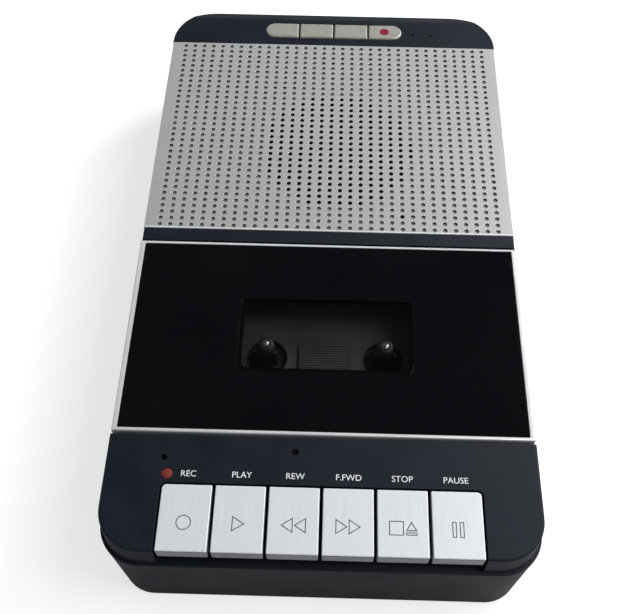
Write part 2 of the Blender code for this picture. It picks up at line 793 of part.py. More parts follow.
def copies(name, mesh, places):
    """Identical pieces in one object. A place is (x, y) or (x, y, z)."""
    bm = bmesh.new()
    for place in places:
        spot = Vector((*place, 0)[:3])
        before = len(bm.verts)
        bm.from_mesh(mesh)
        bm.verts.ensure_lookup_table()
        bmesh.ops.translate(bm, vec=spot, verts=bm.verts[before:])
    return smooth(from_bmesh(name, bm))


def corner_copies(name, profile, steps, places, finish):
    """Four identical turned pieces, each an object of its own at a corner of the case."""
    mesh = turned_mesh(name, profile, steps)
    for corner, place in zip(CORNER_NAMES, places):
        obj = smooth(link(f"{name}_{corner}", mesh.copy()))
        obj.location = (*place, 0)
        paint(obj, finish)


def arc(centre, radius, start_deg, end_deg, steps):
    points = []
    for i in range(steps + 1):
        angle = math.radians(start_deg + (end_deg - start_deg) * i / steps)
        points.append((centre[0] + radius * math.cos(angle), centre[1] + radius * math.sin(angle)))
    return points


def round_outline(low, high, radius, steps):
    """A rectangle with round corners, anticlockwise."""
    (x0, y0), (x1, y1) = low, high
    return (
        arc((x1 - radius, y0 + radius), radius, -90, 0, steps)
        + arc((x1 - radius, y1 - radius), radius, 0, 90, steps)
        + arc((x0 + radius, y1 - radius), radius, 90, 180, steps)
        + arc((x0 + radius, y0 + radius), radius, 180, 270, steps)
    )


def flat_plate(name, outlines, low_z, high_z, upright=None):
    """A flat plate from closed outlines, the first outside and the rest holes. With upright given, the
    outlines are (y, z) points and the plate stands across X from low to high."""
    curve = bpy.data.curves.new(name, "CURVE")
    curve.dimensions = "2D"
    curve.fill_mode = "BOTH"
    curve.extrude = (high_z - low_z) / 2
    for outline in outlines:
        spline = curve.splines.new("POLY")
        spline.points.add(len(outline) - 1)
        for point, (x, y) in zip(spline.points, outline):
            point.co = (x, y, 0, 1)
        spline.use_cyclic_u = True
    obj = link(name, curve)
    obj.matrix_world = Matrix.Translation((0, 0, (low_z + high_z) / 2))
    if upright:
        turn = Matrix(((0, 0, 1, 0), (1, 0, 0, 0), (0, 1, 0, 0), (0, 0, 0, 1)))
        obj.matrix_world = Matrix.Translation(((low_z + high_z) / 2, 0, 0)) @ turn
    bpy.context.view_layer.update()
    return link(name, baked(obj))


# Case
def make_upper_housing():
    rim = (RIM_HALF_WIDTH, RIM_HALF_LENGTH)
    ridge = (RIDGE_HALF_WIDTH, RIDGE_HALF_LENGTH)
    outer_radii = (FRONT_RADIUS, REAR_RADIUS)
    inner_radii = (FRONT_RADIUS - WALL, REAR_RADIUS - WALL)
    low_z = UPPER_BOTTOM + RIDGE_HEIGHT / 2
    top = (HALF_WIDTH, HALF_LENGTH)
    body = even_moulding("upper_housing", rim, top, low_z, CASE_TOP, *outer_radii, TOP_EDGE)
    join(body, even_moulding("ridge", ridge, ridge, UPPER_BOTTOM, RIDGE_TOP, *outer_radii))

    under = UPPER_BOTTOM - OVERRUN
    inner = (UPPER_INNER_HALF, -HALF_LENGTH + WALL, HALF_LENGTH - WALL)
    rear_room = (UPPER_INNER_HALF, POCKET_REAR + POCKET_WALL, HALF_LENGTH - WALL)
    front_room = (UPPER_INNER_HALF, -HALF_LENGTH + WALL, POCKET_FRONT - POCKET_WALL)
    cut(
        body,
        moulding("hollow", inner, inner, under, LEDGE_BOTTOM, *inner_radii),
        moulding("rear_room", rear_room, rear_room, under, ROOF_Z, 0, inner_radii[1]),
        moulding("front_room", front_room, front_room, under, BAND_ROOF_Z, inner_radii[0], 0),
    )
    bay_rear = BAY_REAR + BAY_WALL
    bay_block_top = (CASE_TOP + BAND_ROOF_Z) / 2
    join(
        body,
        box(
            "bay_block",
            (-BAY_BLOCK_HALF, -HALF_LENGTH + WALL / 2, UPPER_BOTTOM),
            (BAY_BLOCK_HALF, bay_rear, bay_block_top),
        ),
        uprights("upper_bosses", CASE_SCREWS, SEAM_Z, bay_block_top, BOSS_UPPER_RADIUS, BOSS_STEPS),
        uprights(
            "board_posts",
            BUTTON_BOARD_POSTS,
            BUTTON_BOARD_TOP + GAP,
            (CASE_TOP + ROOF_Z) / 2,
            BOARD_POST_RADIUS,
            BOSS_STEPS,
        ),
    )

    above = CASE_TOP + OVERRUN
    wide = HALF_WIDTH + OVERRUN
    slot_y = (BAY_REAR - GAP, bay_rear + GAP)
    slot_half = LEVER_THICKNESS / 2 + LEVER_SLOT_MARGIN
    slope = [
        (HALF_LENGTH - REAR_SLOPE_LENGTH, CASE_TOP),
        (HALF_LENGTH + REAR_SLOPE_LENGTH, CASE_TOP - 2 * REAR_SLOPE_DROP),
        (HALF_LENGTH + REAR_SLOPE_LENGTH, above),
        (HALF_LENGTH - REAR_SLOPE_LENGTH, above),
    ]
    cut(
        body,
        box("key_bay", (-BAY_HALF, -HALF_LENGTH - OVERRUN, RIDGE_TOP), (BAY_HALF, BAY_REAR, above)),
        boxes(
            "lever_slots",
            [
                (
                    (x - slot_half, slot_y[0], under),
                    (x + slot_half, slot_y[1], CASE_TOP - LEVER_SLOT_TOP),
                )
                for x in key_centres()
            ],
        ),
        box("door_pocket", (-wide, POCKET_FRONT, LEDGE_Z), (wide, POCKET_REAR, above)),
        box("trench", (-wide, POCKET_REAR - TRENCH_LENGTH, TRENCH_Z), (wide, POCKET_REAR, above)),
        box(
            "well",
            (-WELL_HALF_WIDTH, WELL_FRONT, under),
            (WELL_HALF_WIDTH, WELL_REAR, above),
        ),
        box(
            "head_window",
            (-WELL_HALF_WIDTH, POCKET_FRONT - POCKET_WALL - GAP, under),
            (WELL_HALF_WIDTH, WELL_FRONT + GAP, LEDGE_Z - HEAD_WINDOW_SKIN),
        ),
        box("hook_slot", *hook_box(HOOK_MARGIN, OVERRUN)),
        box("grille_seat", (-wide, SEAT_FRONT, SEAT_Z), (wide, SEAT_REAR, above)),
        flat_plate("slope", [slope], -wide, wide, upright=True),
        uprights(
            "speaker_hole",
            [(SPEAKER_X, SPEAKER_Y)],
            ROOF_Z - OVERRUN,
            above,
            SPEAKER_OPEN_RADIUS,
            WHEEL_STEPS,
        ),
        flat_plate(
            "button_slot",
            [pill_outline(-BUTTON_ROW_WIDTH / 2 - GAP, BUTTON_ROW_WIDTH / 2 + GAP, True, True, GAP)],
            ROOF_Z - OVERRUN,
            above,
        ),
        uprights("status_holes", status_places(), ROOF_Z - OVERRUN, above, STATUS_HOLE_RADIUS, LAMP_STEPS),
        uprights(
            "record_led_hole",
            [record_led_place()],
            CASE_TOP - RECORD_LED_DEPTH - GAP,
            above,
            RECORD_LED_RADIUS + GAP,
            LAMP_STEPS,
        ),
        uprights(
            "power_led_hole",
            [power_led_place()],
            BAND_ROOF_Z - OVERRUN,
            above,
            POWER_LED_RADIUS + GAP,
            LAMP_STEPS,
        ),
        uprights("mic_hole", [mic_place()], BAND_ROOF_Z - OVERRUN, above, MIC_HOLE_RADIUS, LAMP_STEPS),
        box("usb_hole", *usb_box(USB_MARGIN, OVERRUN)),
        uprights(
            "screw_bores",
            CASE_SCREWS,
            under,
            FOOT_PROUD + SCREW_SEAT + CASE_SCREW_LENGTH + GAP,
            CASE_SCREW_RADIUS + GAP,
            BOSS_STEPS,
        ),
    )
    join(body, hinge_eyes())
    cut(body, hinge_pins("eye_bores", GAP), snap_slots())
    return paint(body, "case_plastic")


def hinge_eyes():
    """The eyes that stand in the trench and hold the hinge pins."""
    bm = bmesh.new()
    for side in (-1, 1):
        x = side * (HALF_WIDTH - HINGE_EYE_INSET)
        half = HINGE_EYE_WIDTH / 2
        add_rod(bm, (x - half, HINGE_Y, HINGE_Z), (x + half, HINGE_Y, HINGE_Z), HINGE_EYE_RADIUS, BOSS_STEPS)
    eyes = from_bmesh("hinge_eyes", bm)
    feet = []
    for side in (-1, 1):
        x = side * (HALF_WIDTH - HINGE_EYE_INSET)
        half = HINGE_EYE_WIDTH / 2
        low = (x - half, HINGE_Y - HINGE_EYE_RADIUS, LEDGE_BOTTOM + GAP)
        feet.append((low, (x + half, HINGE_Y + HINGE_EYE_RADIUS, HINGE_Z)))
    join(eyes, boxes("eye_feet", feet))
    return eyes


def hinge_pins(name, margin=0):
    """The pins that cross the notches of the lid, or with a margin the bores of the eyes."""
    spans = []
    for side in (-1, 1):
        x = side * (HALF_WIDTH - HINGE_EYE_INSET)
        half = HINGE_PIN_LENGTH / 2
        spans.append(((x - half, HINGE_Y, HINGE_Z), (x + half, HINGE_Y, HINGE_Z)))
    return rods(name, spans, HINGE_PIN_RADIUS + margin, BOSS_STEPS)


def snap_slots():
    """The mouths of the eyes, narrower than the pins, that the lid is pressed into."""
    corners = []
    for side in (-1, 1):
        x = side * (HALF_WIDTH - HINGE_EYE_INSET)
        low = (x - HINGE_EYE_WIDTH, HINGE_Y - SNAP_SLOT / 2, HINGE_Z)
        corners.append((low, (x + HINGE_EYE_WIDTH, HINGE_Y + SNAP_SLOT / 2, HINGE_Z + OVERRUN)))
    return boxes("snap_slots", corners)


def make_lower_housing():
    low = (BASE_HALF_WIDTH, BASE_HALF_LENGTH)
    high = (LOWER_HALF_WIDTH, LOWER_HALF_LENGTH)
    radii = (FRONT_RADIUS, REAR_RADIUS)
    body = even_moulding("lower_housing", low, high, FOOT_PROUD, SEAM_Z, *radii)
    inside_low = (low[0] - WALL, low[1] - WALL)
    inside_high = (high[0] - WALL, high[1] - WALL)
    inside_radii = (radii[0] - WALL, radii[1] - WALL)
    cut(body, even_moulding("inside", inside_low, inside_high, FLOOR_TOP, SEAM_Z + OVERRUN, *inside_radii))

    sunk = (FOOT_PROUD + FLOOR_TOP) / 2
    shell = BAY_SHELL
    join(
        body,
        box(
            "cell_bay_walls",
            (-CELL_BAY_HALF - shell, CELL_BAY_FRONT - shell, sunk),
            (CELL_BAY_HALF + shell, BASE_HALF_LENGTH - WALL / 2, CELL_BAY_ROOF + shell),
        ),
        uprights("bosses", CASE_SCREWS, sunk, SEAM_Z - GAP, BOSS_RADIUS, BOSS_STEPS),
        uprights("deck_posts", DECK_POSTS, sunk, DECK_BOTTOM - GAP, DECK_POST_RADIUS, BOSS_STEPS),
        uprights("board_bosses", BOARD_BOSSES, sunk, MAIN_BOARD_Z - GAP, BOARD_BOSS_RADIUS, BOSS_STEPS),
    )

    below = -OVERRUN
    beyond = BASE_HALF_LENGTH + OVERRUN
    shoulder = FOOT_PROUD + SCREW_SEAT
    wheel_depth = INNER_HALF_WIDTH - VOLUME_X
    wheel_reach = math.sqrt(VOLUME_RADIUS**2 - wheel_depth**2) + VOLUME_SLOT_MARGIN
    cut(
        body,
        box(
            "cell_bay",
            (-CELL_BAY_HALF, CELL_BAY_FRONT, FLOOR_TOP),
            (CELL_BAY_HALF, CELL_BAY_REAR, CELL_BAY_ROOF),
        ),
        box(
            "hatch_hole",
            (-HATCH_HALF - GAP, CELL_BAY_FRONT, below),
            (HATCH_HALF + GAP, beyond, HATCH_TOP + GAP),
        ),
        box(
            "hatch_track",
            (-CELL_BAY_HALF, CELL_BAY_FRONT, FLOOR_TOP),
            (CELL_BAY_HALF, beyond, HATCH_TOP + GAP),
        ),
        uprights(
            "screw_wells",
            CASE_SCREWS,
            below,
            shoulder,
            CASE_SCREW_HEAD_RADIUS + SCREW_HOLE_MARGIN,
            BOSS_STEPS,
        ),
        uprights("screw_holes", CASE_SCREWS, sunk, SEAM_Z + GAP, CASE_SCREW_RADIUS + GAP, BOSS_STEPS),
        uprights(
            "deck_screw_holes",
            DECK_POSTS,
            DECK_TOP - DECK_SCREW_LENGTH - GAP,
            DECK_TOP,
            DECK_SCREW_RADIUS + GAP,
            BOSS_STEPS,
        ),
        uprights("foot_pockets", FEET, below, FOOT_PROUD + FOOT_POCKET, FOOT_RADIUS + GAP, FOOT_STEPS),
        box(
            "volume_slot",
            (VOLUME_X, VOLUME_Y - wheel_reach, VOLUME_Z - VOLUME_SLOT_MARGIN),
            (
                LOWER_HALF_WIDTH + OVERRUN,
                VOLUME_Y + wheel_reach,
                VOLUME_Z + VOLUME_THICKNESS + VOLUME_SLOT_MARGIN,
            ),
        ),
        rods(
            "jack_holes",
            [((VOLUME_X, y, JACK_Z), (LOWER_HALF_WIDTH + OVERRUN, y, JACK_Z)) for y in jack_places()],
            JACK_RADIUS + JACK_HOLE_MARGIN,
            JACK_STEPS,
        ),
    )
    return paint(body, "case_plastic")


def make_case_fittings():
    shoulder = FOOT_PROUD + SCREW_SEAT
    screw = [
        (0, shoulder + CASE_SCREW_LENGTH),
        (CASE_SCREW_RADIUS, shoulder + CASE_SCREW_LENGTH - CASE_SCREW_RADIUS),
        (CASE_SCREW_RADIUS, shoulder - GAP),
        (CASE_SCREW_HEAD_RADIUS, shoulder - GAP),
        (CASE_SCREW_HEAD_RADIUS, shoulder - GAP - CASE_SCREW_HEAD_HEIGHT),
        (0, shoulder - GAP - CASE_SCREW_HEAD_HEIGHT),
    ]
    corner_copies("housing_screw", screw, BOSS_STEPS, CASE_SCREWS, "steel")
    foot_top = FOOT_PROUD + FOOT_POCKET - GAP
    foot = [
        (0, foot_top),
        (FOOT_RADIUS, foot_top),
        (FOOT_RADIUS, FOOT_POCKET),
        (FOOT_RADIUS - FOOT_POCKET, 0),
        (0, 0),
    ]
    corner_copies("rubber_foot", foot, FOOT_STEPS, FEET, "rubber")


def make_battery_door():
    """The hatch under the cells. Its lips ride on the floor of the case, and it slides off to the rear."""
    front = CELL_BAY_FRONT + GAP
    rear = BASE_HALF_LENGTH
    door = box("battery_door", (-HATCH_HALF, front, FOOT_PROUD), (HATCH_HALF, rear, HATCH_TOP))
    lip_half = CELL_BAY_HALF - GAP
    join(door, box("hatch_lips", (-lip_half, front, HATCH_LIP_Z), (lip_half, rear, HATCH_TOP)))
    groove_half = HATCH_GROOVE_LENGTH / 2
    grooves = []
    for i in range(HATCH_GROOVES):
        y = rear - HATCH_GROOVE_FROM_REAR - i * HATCH_GROOVE_PITCH
        grooves.append(
            (
                (-groove_half, y - HATCH_GROOVE_WIDTH, -OVERRUN),
                (groove_half, y, FOOT_PROUD + HATCH_GROOVE_DEPTH),
            )
        )
    cut(
        door,
        box(
            "hatch_inside",
            (-HATCH_HALF + HATCH_RIM, front + HATCH_RIM, FOOT_PROUD + HATCH_FLOOR),
            (HATCH_HALF - HATCH_RIM, CELL_BAY_REAR - HATCH_RIM, HATCH_TOP + OVERRUN),
        ),
        boxes("hatch_grooves", grooves),
    )
    paint(door, "case_plastic")
    return set_origin(door, (0, front, FOOT_PROUD))


def cell_rows():
    first = CELL_BAY_FRONT + CELL_PITCH / 2
    return (first, first + CELL_PITCH)


def spring_points():
    """A cone-shaped coil from its wide end, as (along, across, up)."""
    count = int(SPRING_TURNS * SPRING_POINTS)
    points = []
    for i in range(count + 1):
        share = i / count
        radius = SPRING_WIDE + (SPRING_NARROW - SPRING_WIDE) * share
        angle = math.tau * SPRING_TURNS * share
        points.append((SPRING_LENGTH * share, radius * math.cos(angle), radius * math.sin(angle)))
    return points


def coil(name, x, y, z, direction):
    """A contact spring whose wide end starts inside its plate, towards +X or -X."""
    curve = bpy.data.curves.new(name, "CURVE")
    curve.dimensions = "3D"
    curve.bevel_depth = SPRING_WIRE
    curve.bevel_resolution = 1
    curve.use_fill_caps = True
    points = spring_points()
    spline = curve.splines.new("POLY")
    spline.points.add(len(points) - 1)
    for point, (along, across, up) in zip(spline.points, points):
        point.co = (x + direction * along, y + across, z + up, 1)
    obj = link(name, curve)
    bpy.context.view_layer.update()
    return link(name, baked(obj))


def contact(name, side, rows, spring_row):
    """A contact plate on one end wall of the cell bay, across the given rows, with or without a spring."""
    z = HATCH_TOP + CELL_DIAMETER / 2
    outer = side * (CELL_BAY_HALF - GAP)
    inner = side * (CELL_BAY_HALF - GAP - CONTACT_THICKNESS)
    low = (min(inner, outer), min(rows) - CONTACT_WIDTH / 2, z - CONTACT_HEIGHT / 2)
    high = (max(inner, outer), max(rows) + CONTACT_WIDTH / 2, z + CONTACT_HEIGHT / 2)
    plate = box(name, low, high)
    if spring_row is not None:
        start = inner - side * (SPRING_WIRE - CONTACT_THICKNESS / 2)
        join(plate, coil(name + "_coil", start, spring_row, z, -side))
    return paint(plate, "steel")


def make_battery_contacts():
    first, second = cell_rows()
    contact("battery_spring_contact", -1, (first,), first)
    contact("battery_plate_contact", -1, (second,), None)
    contact("battery_link_contact", 1, (first, second), second)


# Speaker
def hole_places():
    """The through holes: the points of the grid that lie over the speaker."""
    half = HALF_WIDTH - GRILLE_SIDE_INSET - HOLE_EDGE_X
    columns = int(2 * half / HOLE_PITCH_X + WELD) + 1
    first_x = -(columns - 1) * HOLE_PITCH_X / 2
    front = SEAT_FRONT + GAP + HOLE_EDGE_Y
    rows = int((SEAT_REAR - GAP - HOLE_EDGE_Y - front) / HOLE_PITCH_Y + WELD) + 1
    places = []
    for row in range(rows):
        for column in range(columns):
            x = first_x + column * HOLE_PITCH_X
            y = front + row * HOLE_PITCH_Y
            if math.hypot(x - SPEAKER_X, y - SPEAKER_Y) < SPEAKER_OPEN_RADIUS:
                places.append((x, y))
    return places


def make_speaker_grille():
    half = HALF_WIDTH - GRILLE_SIDE_INSET
    low_z = SEAT_Z + GAP
    plate = box(
        "speaker_grille",
        (-half, SEAT_FRONT + GAP, low_z),
        (half, SEAT_REAR - GAP, CASE_TOP),
    )
    holes = uprights("grille_holes", hole_places(), low_z - GAP, CASE_TOP + OVERRUN, HOLE_RADIUS, HOLE_SIDES)
    cut(plate, holes)
    return paint(plate, "silver_paint")


def make_speaker():
    top = ROOF_Z - GAP
    under_flange = top - SPEAKER_FLANGE
    back = top - SPEAKER_DEPTH
    place = (SPEAKER_X, SPEAKER_Y)
    wall = BASKET_WALL
    frame = [
        (SPEAKER_RADIUS, top),
        (SPEAKER_RADIUS, under_flange),
        (BASKET_RADIUS, under_flange),
        (BASKET_RADIUS, under_flange - BASKET_STEP),
        (MAGNET_RADIUS + wall, back),
        (CONE_THROAT, back),
        (CONE_THROAT, back + wall),
        (MAGNET_RADIUS + wall, back + wall),
        (BASKET_RADIUS - wall, under_flange - BASKET_STEP),
        (BASKET_RADIUS - wall, top),
    ]
    basket = turned("speaker_frame", frame, SPEAKER_STEPS, place, bored=True)
    window = BASKET_WINDOW_WIDTH / 2
    reach = BASKET_RADIUS + OVERRUN
    low_z = back + wall + GAP
    for i in range(BASKET_WINDOWS // 2):
        angle = math.pi * (2 * i + 1) / BASKET_WINDOWS
        high_z = under_flange - BASKET_STEP - GAP
        bar = box("basket_window", (-reach, -window, low_z), (reach, window, high_z))
        bar.data.transform(Matrix.Translation((*place, 0)) @ Matrix.Rotation(angle, 4, "Z"))
        cut(basket, bar)
    paint(centre_origin(basket), "steel")
    magnet = [
        (0, back - GAP),
        (MAGNET_RADIUS, back - GAP),
        (MAGNET_RADIUS, back - GAP - MAGNET_HEIGHT),
        (0, back - GAP - MAGNET_HEIGHT),
    ]
    paint(centre_origin(turned("speaker_magnet", magnet, SPEAKER_STEPS, place)), "steel")
    rim = top - GAP
    rim_radius = BASKET_RADIUS - BASKET_WALL - GAP
    throat = rim - CONE_DEPTH
    cone = [
        (0, throat + DUST_CAP_RISE),
        (CONE_THROAT * 2 / 3, throat + DUST_CAP_RISE / 2),
        (CONE_THROAT, throat),
        (rim_radius - CONE_THICKNESS, rim),
        (rim_radius, rim),
        (rim_radius, rim - CONE_THICKNESS),
        (CONE_THROAT, throat - CONE_THICKNESS),
        (0, throat - CONE_THICKNESS),
    ]
    paint(centre_origin(turned("speaker_cone", cone, SPEAKER_STEPS, place)), "paper")


# Cassette door
def hook_box(margin, overrun):
    """The catch that hangs under the front of the lid, or with a margin its slot in the ledge."""
    x = HALF_WIDTH - HOOK_INSET
    y = DOOR_FRONT + HOOK_FROM_FRONT
    half = HOOK_WIDTH / 2 + margin
    low_z = DOOR_BOTTOM - HOOK_LENGTH - overrun
    high_z = DOOR_BOTTOM + TRIM_WIDTH + overrun
    return (x - half, y - margin, low_z), (x + half, y + HOOK_THICKNESS + margin, high_z)


def make_door():
    outer_half = HALF_WIDTH - DOOR_SIDE_INSET
    inner_half = outer_half - TRIM_WIDTH
    bm = bmesh.new()
    add_box(bm, (-outer_half, DOOR_FRONT, DOOR_BOTTOM), (outer_half, DOOR_REAR, CASE_TOP))
    rear_edges = [e for e in bm.edges if all(abs(v.co.y - DOOR_REAR) < WELD for v in e.verts)]
    long_edges = [e for e in rear_edges if e.calc_length() > outer_half]
    top_edge = [e for e in long_edges if e.verts[0].co.z > HINGE_Z]
    bevel(bm, top_edge, TRIM_ROUND, TRIM_ROUND_STEPS)
    bottom_edge = [
        e
        for e in bm.edges
        if all(abs(v.co.y - DOOR_REAR) < WELD and abs(v.co.z - DOOR_BOTTOM) < WELD for v in e.verts)
    ]
    bevel(bm, bottom_edge, TRIM_CHAMFER, 1)
    trim = from_bmesh("door_trim", bm)
    cut(
        trim,
        box(
            "trim_inside",
            (-inner_half, DOOR_FRONT + TRIM_WIDTH, DOOR_BOTTOM - OVERRUN),
            (inner_half, DOOR_REAR - TRIM_WIDTH, CASE_TOP + OVERRUN),
        ),
        hinge_notches("trim_notches"),
    )

    panel_half = inner_half - GAP
    panel_front = DOOR_FRONT + TRIM_WIDTH + GAP
    panel_rear = DOOR_REAR - TRIM_WIDTH - GAP
    panel = box(
        "cassette_door",
        (-panel_half, panel_front, DOOR_BOTTOM),
        (panel_half, panel_rear, CASE_TOP),
    )
    skin_z = CASE_TOP - DOOR_SKIN
    hollow_front = panel_front + HOOK_FROM_FRONT + HOOK_THICKNESS
    hollow_rear = panel_rear - DOOR_HINGE_BAR
    ribs = []
    for side in (-1, 1):
        low = side * DOOR_RIB_OFFSET - DOOR_RIB_THICKNESS / 2
        high = low + DOOR_RIB_THICKNESS
        ribs.append(((low, hollow_front - GAP, DOOR_BOTTOM), (high, hollow_rear + GAP, skin_z + GAP)))
    window_rear = DOOR_REAR - WINDOW_FROM_REAR
    window_front = window_rear - WINDOW_LENGTH
    half = WINDOW_WIDTH / 2
    lens_low = (-half - WINDOW_LAP, window_front - WINDOW_LAP)
    lens_high = (half + WINDOW_LAP, window_rear + WINDOW_LAP)
    recess = round_outline(lens_low, lens_high, WINDOW_RADIUS, WINDOW_STEPS)
    opening = round_outline((-half, window_front), (half, window_rear), WINDOW_RADIUS, WINDOW_STEPS)
    recess_z = CASE_TOP - WINDOW_THICKNESS - GAP
    cut(
        panel,
        box(
            "door_hollow",
            (-panel_half + DOOR_RIM, hollow_front, DOOR_BOTTOM - OVERRUN),
            (panel_half - DOOR_RIM, hollow_rear, skin_z),
        ),
    )
    join(panel, boxes("door_ribs", ribs), box("door_hook", *hook_box(0, 0)))
    cut(
        panel,
        flat_plate("window_recess", [recess], recess_z, CASE_TOP + OVERRUN),
        flat_plate("window_opening", [opening], DOOR_BOTTOM - OVERRUN, CASE_TOP + OVERRUN),
        hinge_notches("panel_notches"),
    )
    join(panel, hinge_pins("door_pins"))
    lens_outline = round_outline(
        (lens_low[0] + GAP, lens_low[1] + GAP),
        (lens_high[0] - GAP, lens_high[1] - GAP),
        WINDOW_RADIUS - GAP,
        WINDOW_STEPS,
    )
    lens = flat_plate("door_window", [lens_outline], CASE_TOP - WINDOW_THICKNESS, CASE_TOP)
    for obj, finish in ((trim, "silver_paint"), (panel, "gloss_black"), (lens, "smoked_clear")):
        paint(set_origin(obj, (0, HINGE_Y, HINGE_Z)), finish)


def hinge_notches(name):
    """Room in the lid for the eyes, from under its top skin out through its rear edge."""
    half = HINGE_EYE_WIDTH / 2 + GAP
    front = HINGE_Y - HINGE_EYE_RADIUS - GAP
    top = HINGE_Z + HINGE_EYE_RADIUS + HINGE_NOTCH_MARGIN
    corners = []
    for side in (-1, 1):
        x = side * (HALF_WIDTH - HINGE_EYE_INSET)
        corners.append(((x - half, front, DOOR_BOTTOM - OVERRUN), (x + half, DOOR_REAR + OVERRUN, top)))
    return boxes(name, corners)


# Keys
def key_centres():
    first = -KEY_ROW_HALF + KEY_WIDTH / 2
    return [first + i * KEY_PITCH for i in range(KEY_COUNT)]


def lever_outline():
    """The side of a key's lever as (y, z) points, from under the cap to the boss on the shaft."""
    boss = (PIVOT_Y, PIVOT_Z)
    skin = CASE_TOP - KEY_SKIN / 2
    return [
        (KEY_FRONT + LEVER_START, skin),
        (KEY_FRONT + LEVER_START, CASE_TOP - LEVER_FRONT_DROP),
        (KEY_REAR - KEY_WALL, CASE_TOP - LEVER_KNEE_DROP),
        (BAY_REAR - GAP, CASE_TOP - LEVER_LOW_DROP),
        *arc(boss, LEVER_BOSS_RADIUS, 225, 450, LEVER_BOSS_STEPS),
        (BAY_REAR, CASE_TOP - LEVER_TOP_DROP),
        (KEY_REAR - KEY_WALL, CASE_TOP - LEVER_TOP_DROP),
        (KEY_REAR - KEY_WALL, skin),
    ]


def make_key(name, x, left_end, right_end):
    half = KEY_WIDTH / 2
    bm = bmesh.new()
    add_box(bm, (x - half, KEY_FRONT, KEY_BOTTOM), (x + half, KEY_REAR, CASE_TOP))
    corners = []
    for edge in upright_edges(bm):
        spot = edge.verts[0].co
        if spot.y > (KEY_FRONT + KEY_REAR) / 2 and ((spot.x < x and left_end) or (spot.x > x and right_end)):
            corners.append(edge)
    if corners:
        bevel(bm, corners, KEY_CORNER_RADIUS, KEY_CORNER_STEPS)
    top = [e for e in bm.edges if all(abs(v.co.z - CASE_TOP) < WELD for v in e.verts)]
    bevel(bm, top, KEY_EDGE, 1)
    key = from_bmesh(name, bm)
    cut(
        key,
        box(
            name + "_hollow",
            (x - half + KEY_WALL, KEY_FRONT + KEY_WALL, KEY_BOTTOM - OVERRUN),
            (x + half - KEY_WALL, KEY_REAR - KEY_WALL, CASE_TOP - KEY_SKIN),
        ),
    )
    lever_half = LEVER_THICKNESS / 2
    join(key, flat_plate(name + "_lever", [lever_outline()], x - lever_half, x + lever_half, upright=True))
    bore_half = LEVER_THICKNESS
    bore = rods(
        name + "_bore",
        [((x - bore_half, PIVOT_Y, PIVOT_Z), (x + bore_half, PIVOT_Y, PIVOT_Z))],
        KEY_SHAFT_RADIUS + GAP,
        BOSS_STEPS,
    )
    cut(key, bore)
    paint(key, "key_paint")
    return set_origin(key, (x, PIVOT_Y, PIVOT_Z))


def make_keys():
    names = ("record_key", "play_key", "rewind_key", "fast_forward_key", "stop_eject_key", "pause_key")
    for i, (name, x) in enumerate(zip(names, key_centres())):
        make_key(name, x, i == 0, i == KEY_COUNT - 1)


def bracket_tab(side, margin):
    """The tab that locks an ear of the bracket in the deck, or with a margin its slot."""
    near, far = side * BRACKET_EAR_X, side * (BRACKET_EAR_X + BRACKET_THICKNESS)
    half = BRACKET_TAB / 2 + margin
    low = (min(near, far) - margin, PIVOT_Y - half, DECK_BOTTOM - BRACKET_TAB_PROUD - margin)
    high = (max(near, far) + margin, PIVOT_Y + half, DECK_TOP + 2 * GAP + margin)
    return low, high


def make_key_bracket():
    front = PIVOT_Y - BRACKET_EAR_FRONT
    rear = PIVOT_Y + BRACKET_REAR
    outer = BRACKET_EAR_X + BRACKET_THICKNESS
    top = CASE_TOP - BRACKET_BAR_DROP
    foot_z = DECK_TOP + GAP
    bar_low = (-outer, rear - BRACKET_BAR, top - BRACKET_BAR_HEIGHT)
    bracket = box("key_bracket", bar_low, (outer, rear, top))
    for side in (-1, 1):
        near, far = side * BRACKET_EAR_X, side * outer
        inner = side * (outer - BRACKET_FOOT)
        ear = box("bracket_ear", (min(near, far), front, foot_z), (max(near, far), rear, top))
        foot_corners = (min(inner, far), max(inner, far))
        foot = box(
            "bracket_foot",
            (foot_corners[0], front, foot_z),
            (foot_corners[1], rear, foot_z + BRACKET_THICKNESS),
        )
        tab = box("bracket_tab", *bracket_tab(side, 0))
        join(bracket, ear, foot, tab)
    shaft_reach = outer + OVERRUN
    cut(
        bracket,
        rods(
            "shaft_holes",
            [((-shaft_reach, PIVOT_Y, PIVOT_Z), (shaft_reach, PIVOT_Y, PIVOT_Z))],
            KEY_SHAFT_RADIUS + GAP,
            BOSS_STEPS,
        ),
    )
    paint(centre_origin(bracket), "steel")
    end = outer + SHAFT_END
    span = ((-end, PIVOT_Y, PIVOT_Z), (end, PIVOT_Y, PIVOT_Z))
    shaft = rods("key_shaft", [span], KEY_SHAFT_RADIUS, BOSS_STEPS)
    paint(centre_origin(smooth(shaft)), "steel")

    low_z = PIVOT_Z + LEVER_BOSS_RADIUS + COMB_ABOVE_BOSS
    high_z = low_z + COMB_THICKNESS
    strip_front = rear - BRACKET_BAR
    strip_half = KEY_ROW_HALF - KEY_WIDTH / 2 + COMB_FINGER_WIDTH
    half = COMB_FINGER_WIDTH / 2
    outline = [(strip_half, strip_front), (strip_half, strip_front + COMB_STRIP)]
    outline += [(-strip_half, strip_front + COMB_STRIP), (-strip_half, strip_front)]
    for x in key_centres():
        outline += [
            (x - half, strip_front),
            (x - half, strip_front - COMB_FINGER_REACH),
            (x + half, strip_front - COMB_FINGER_REACH),
            (x + half, strip_front),
        ]
    comb = flat_plate("key_return_spring", [outline], low_z, high_z)
    paint(centre_origin(comb), "steel")


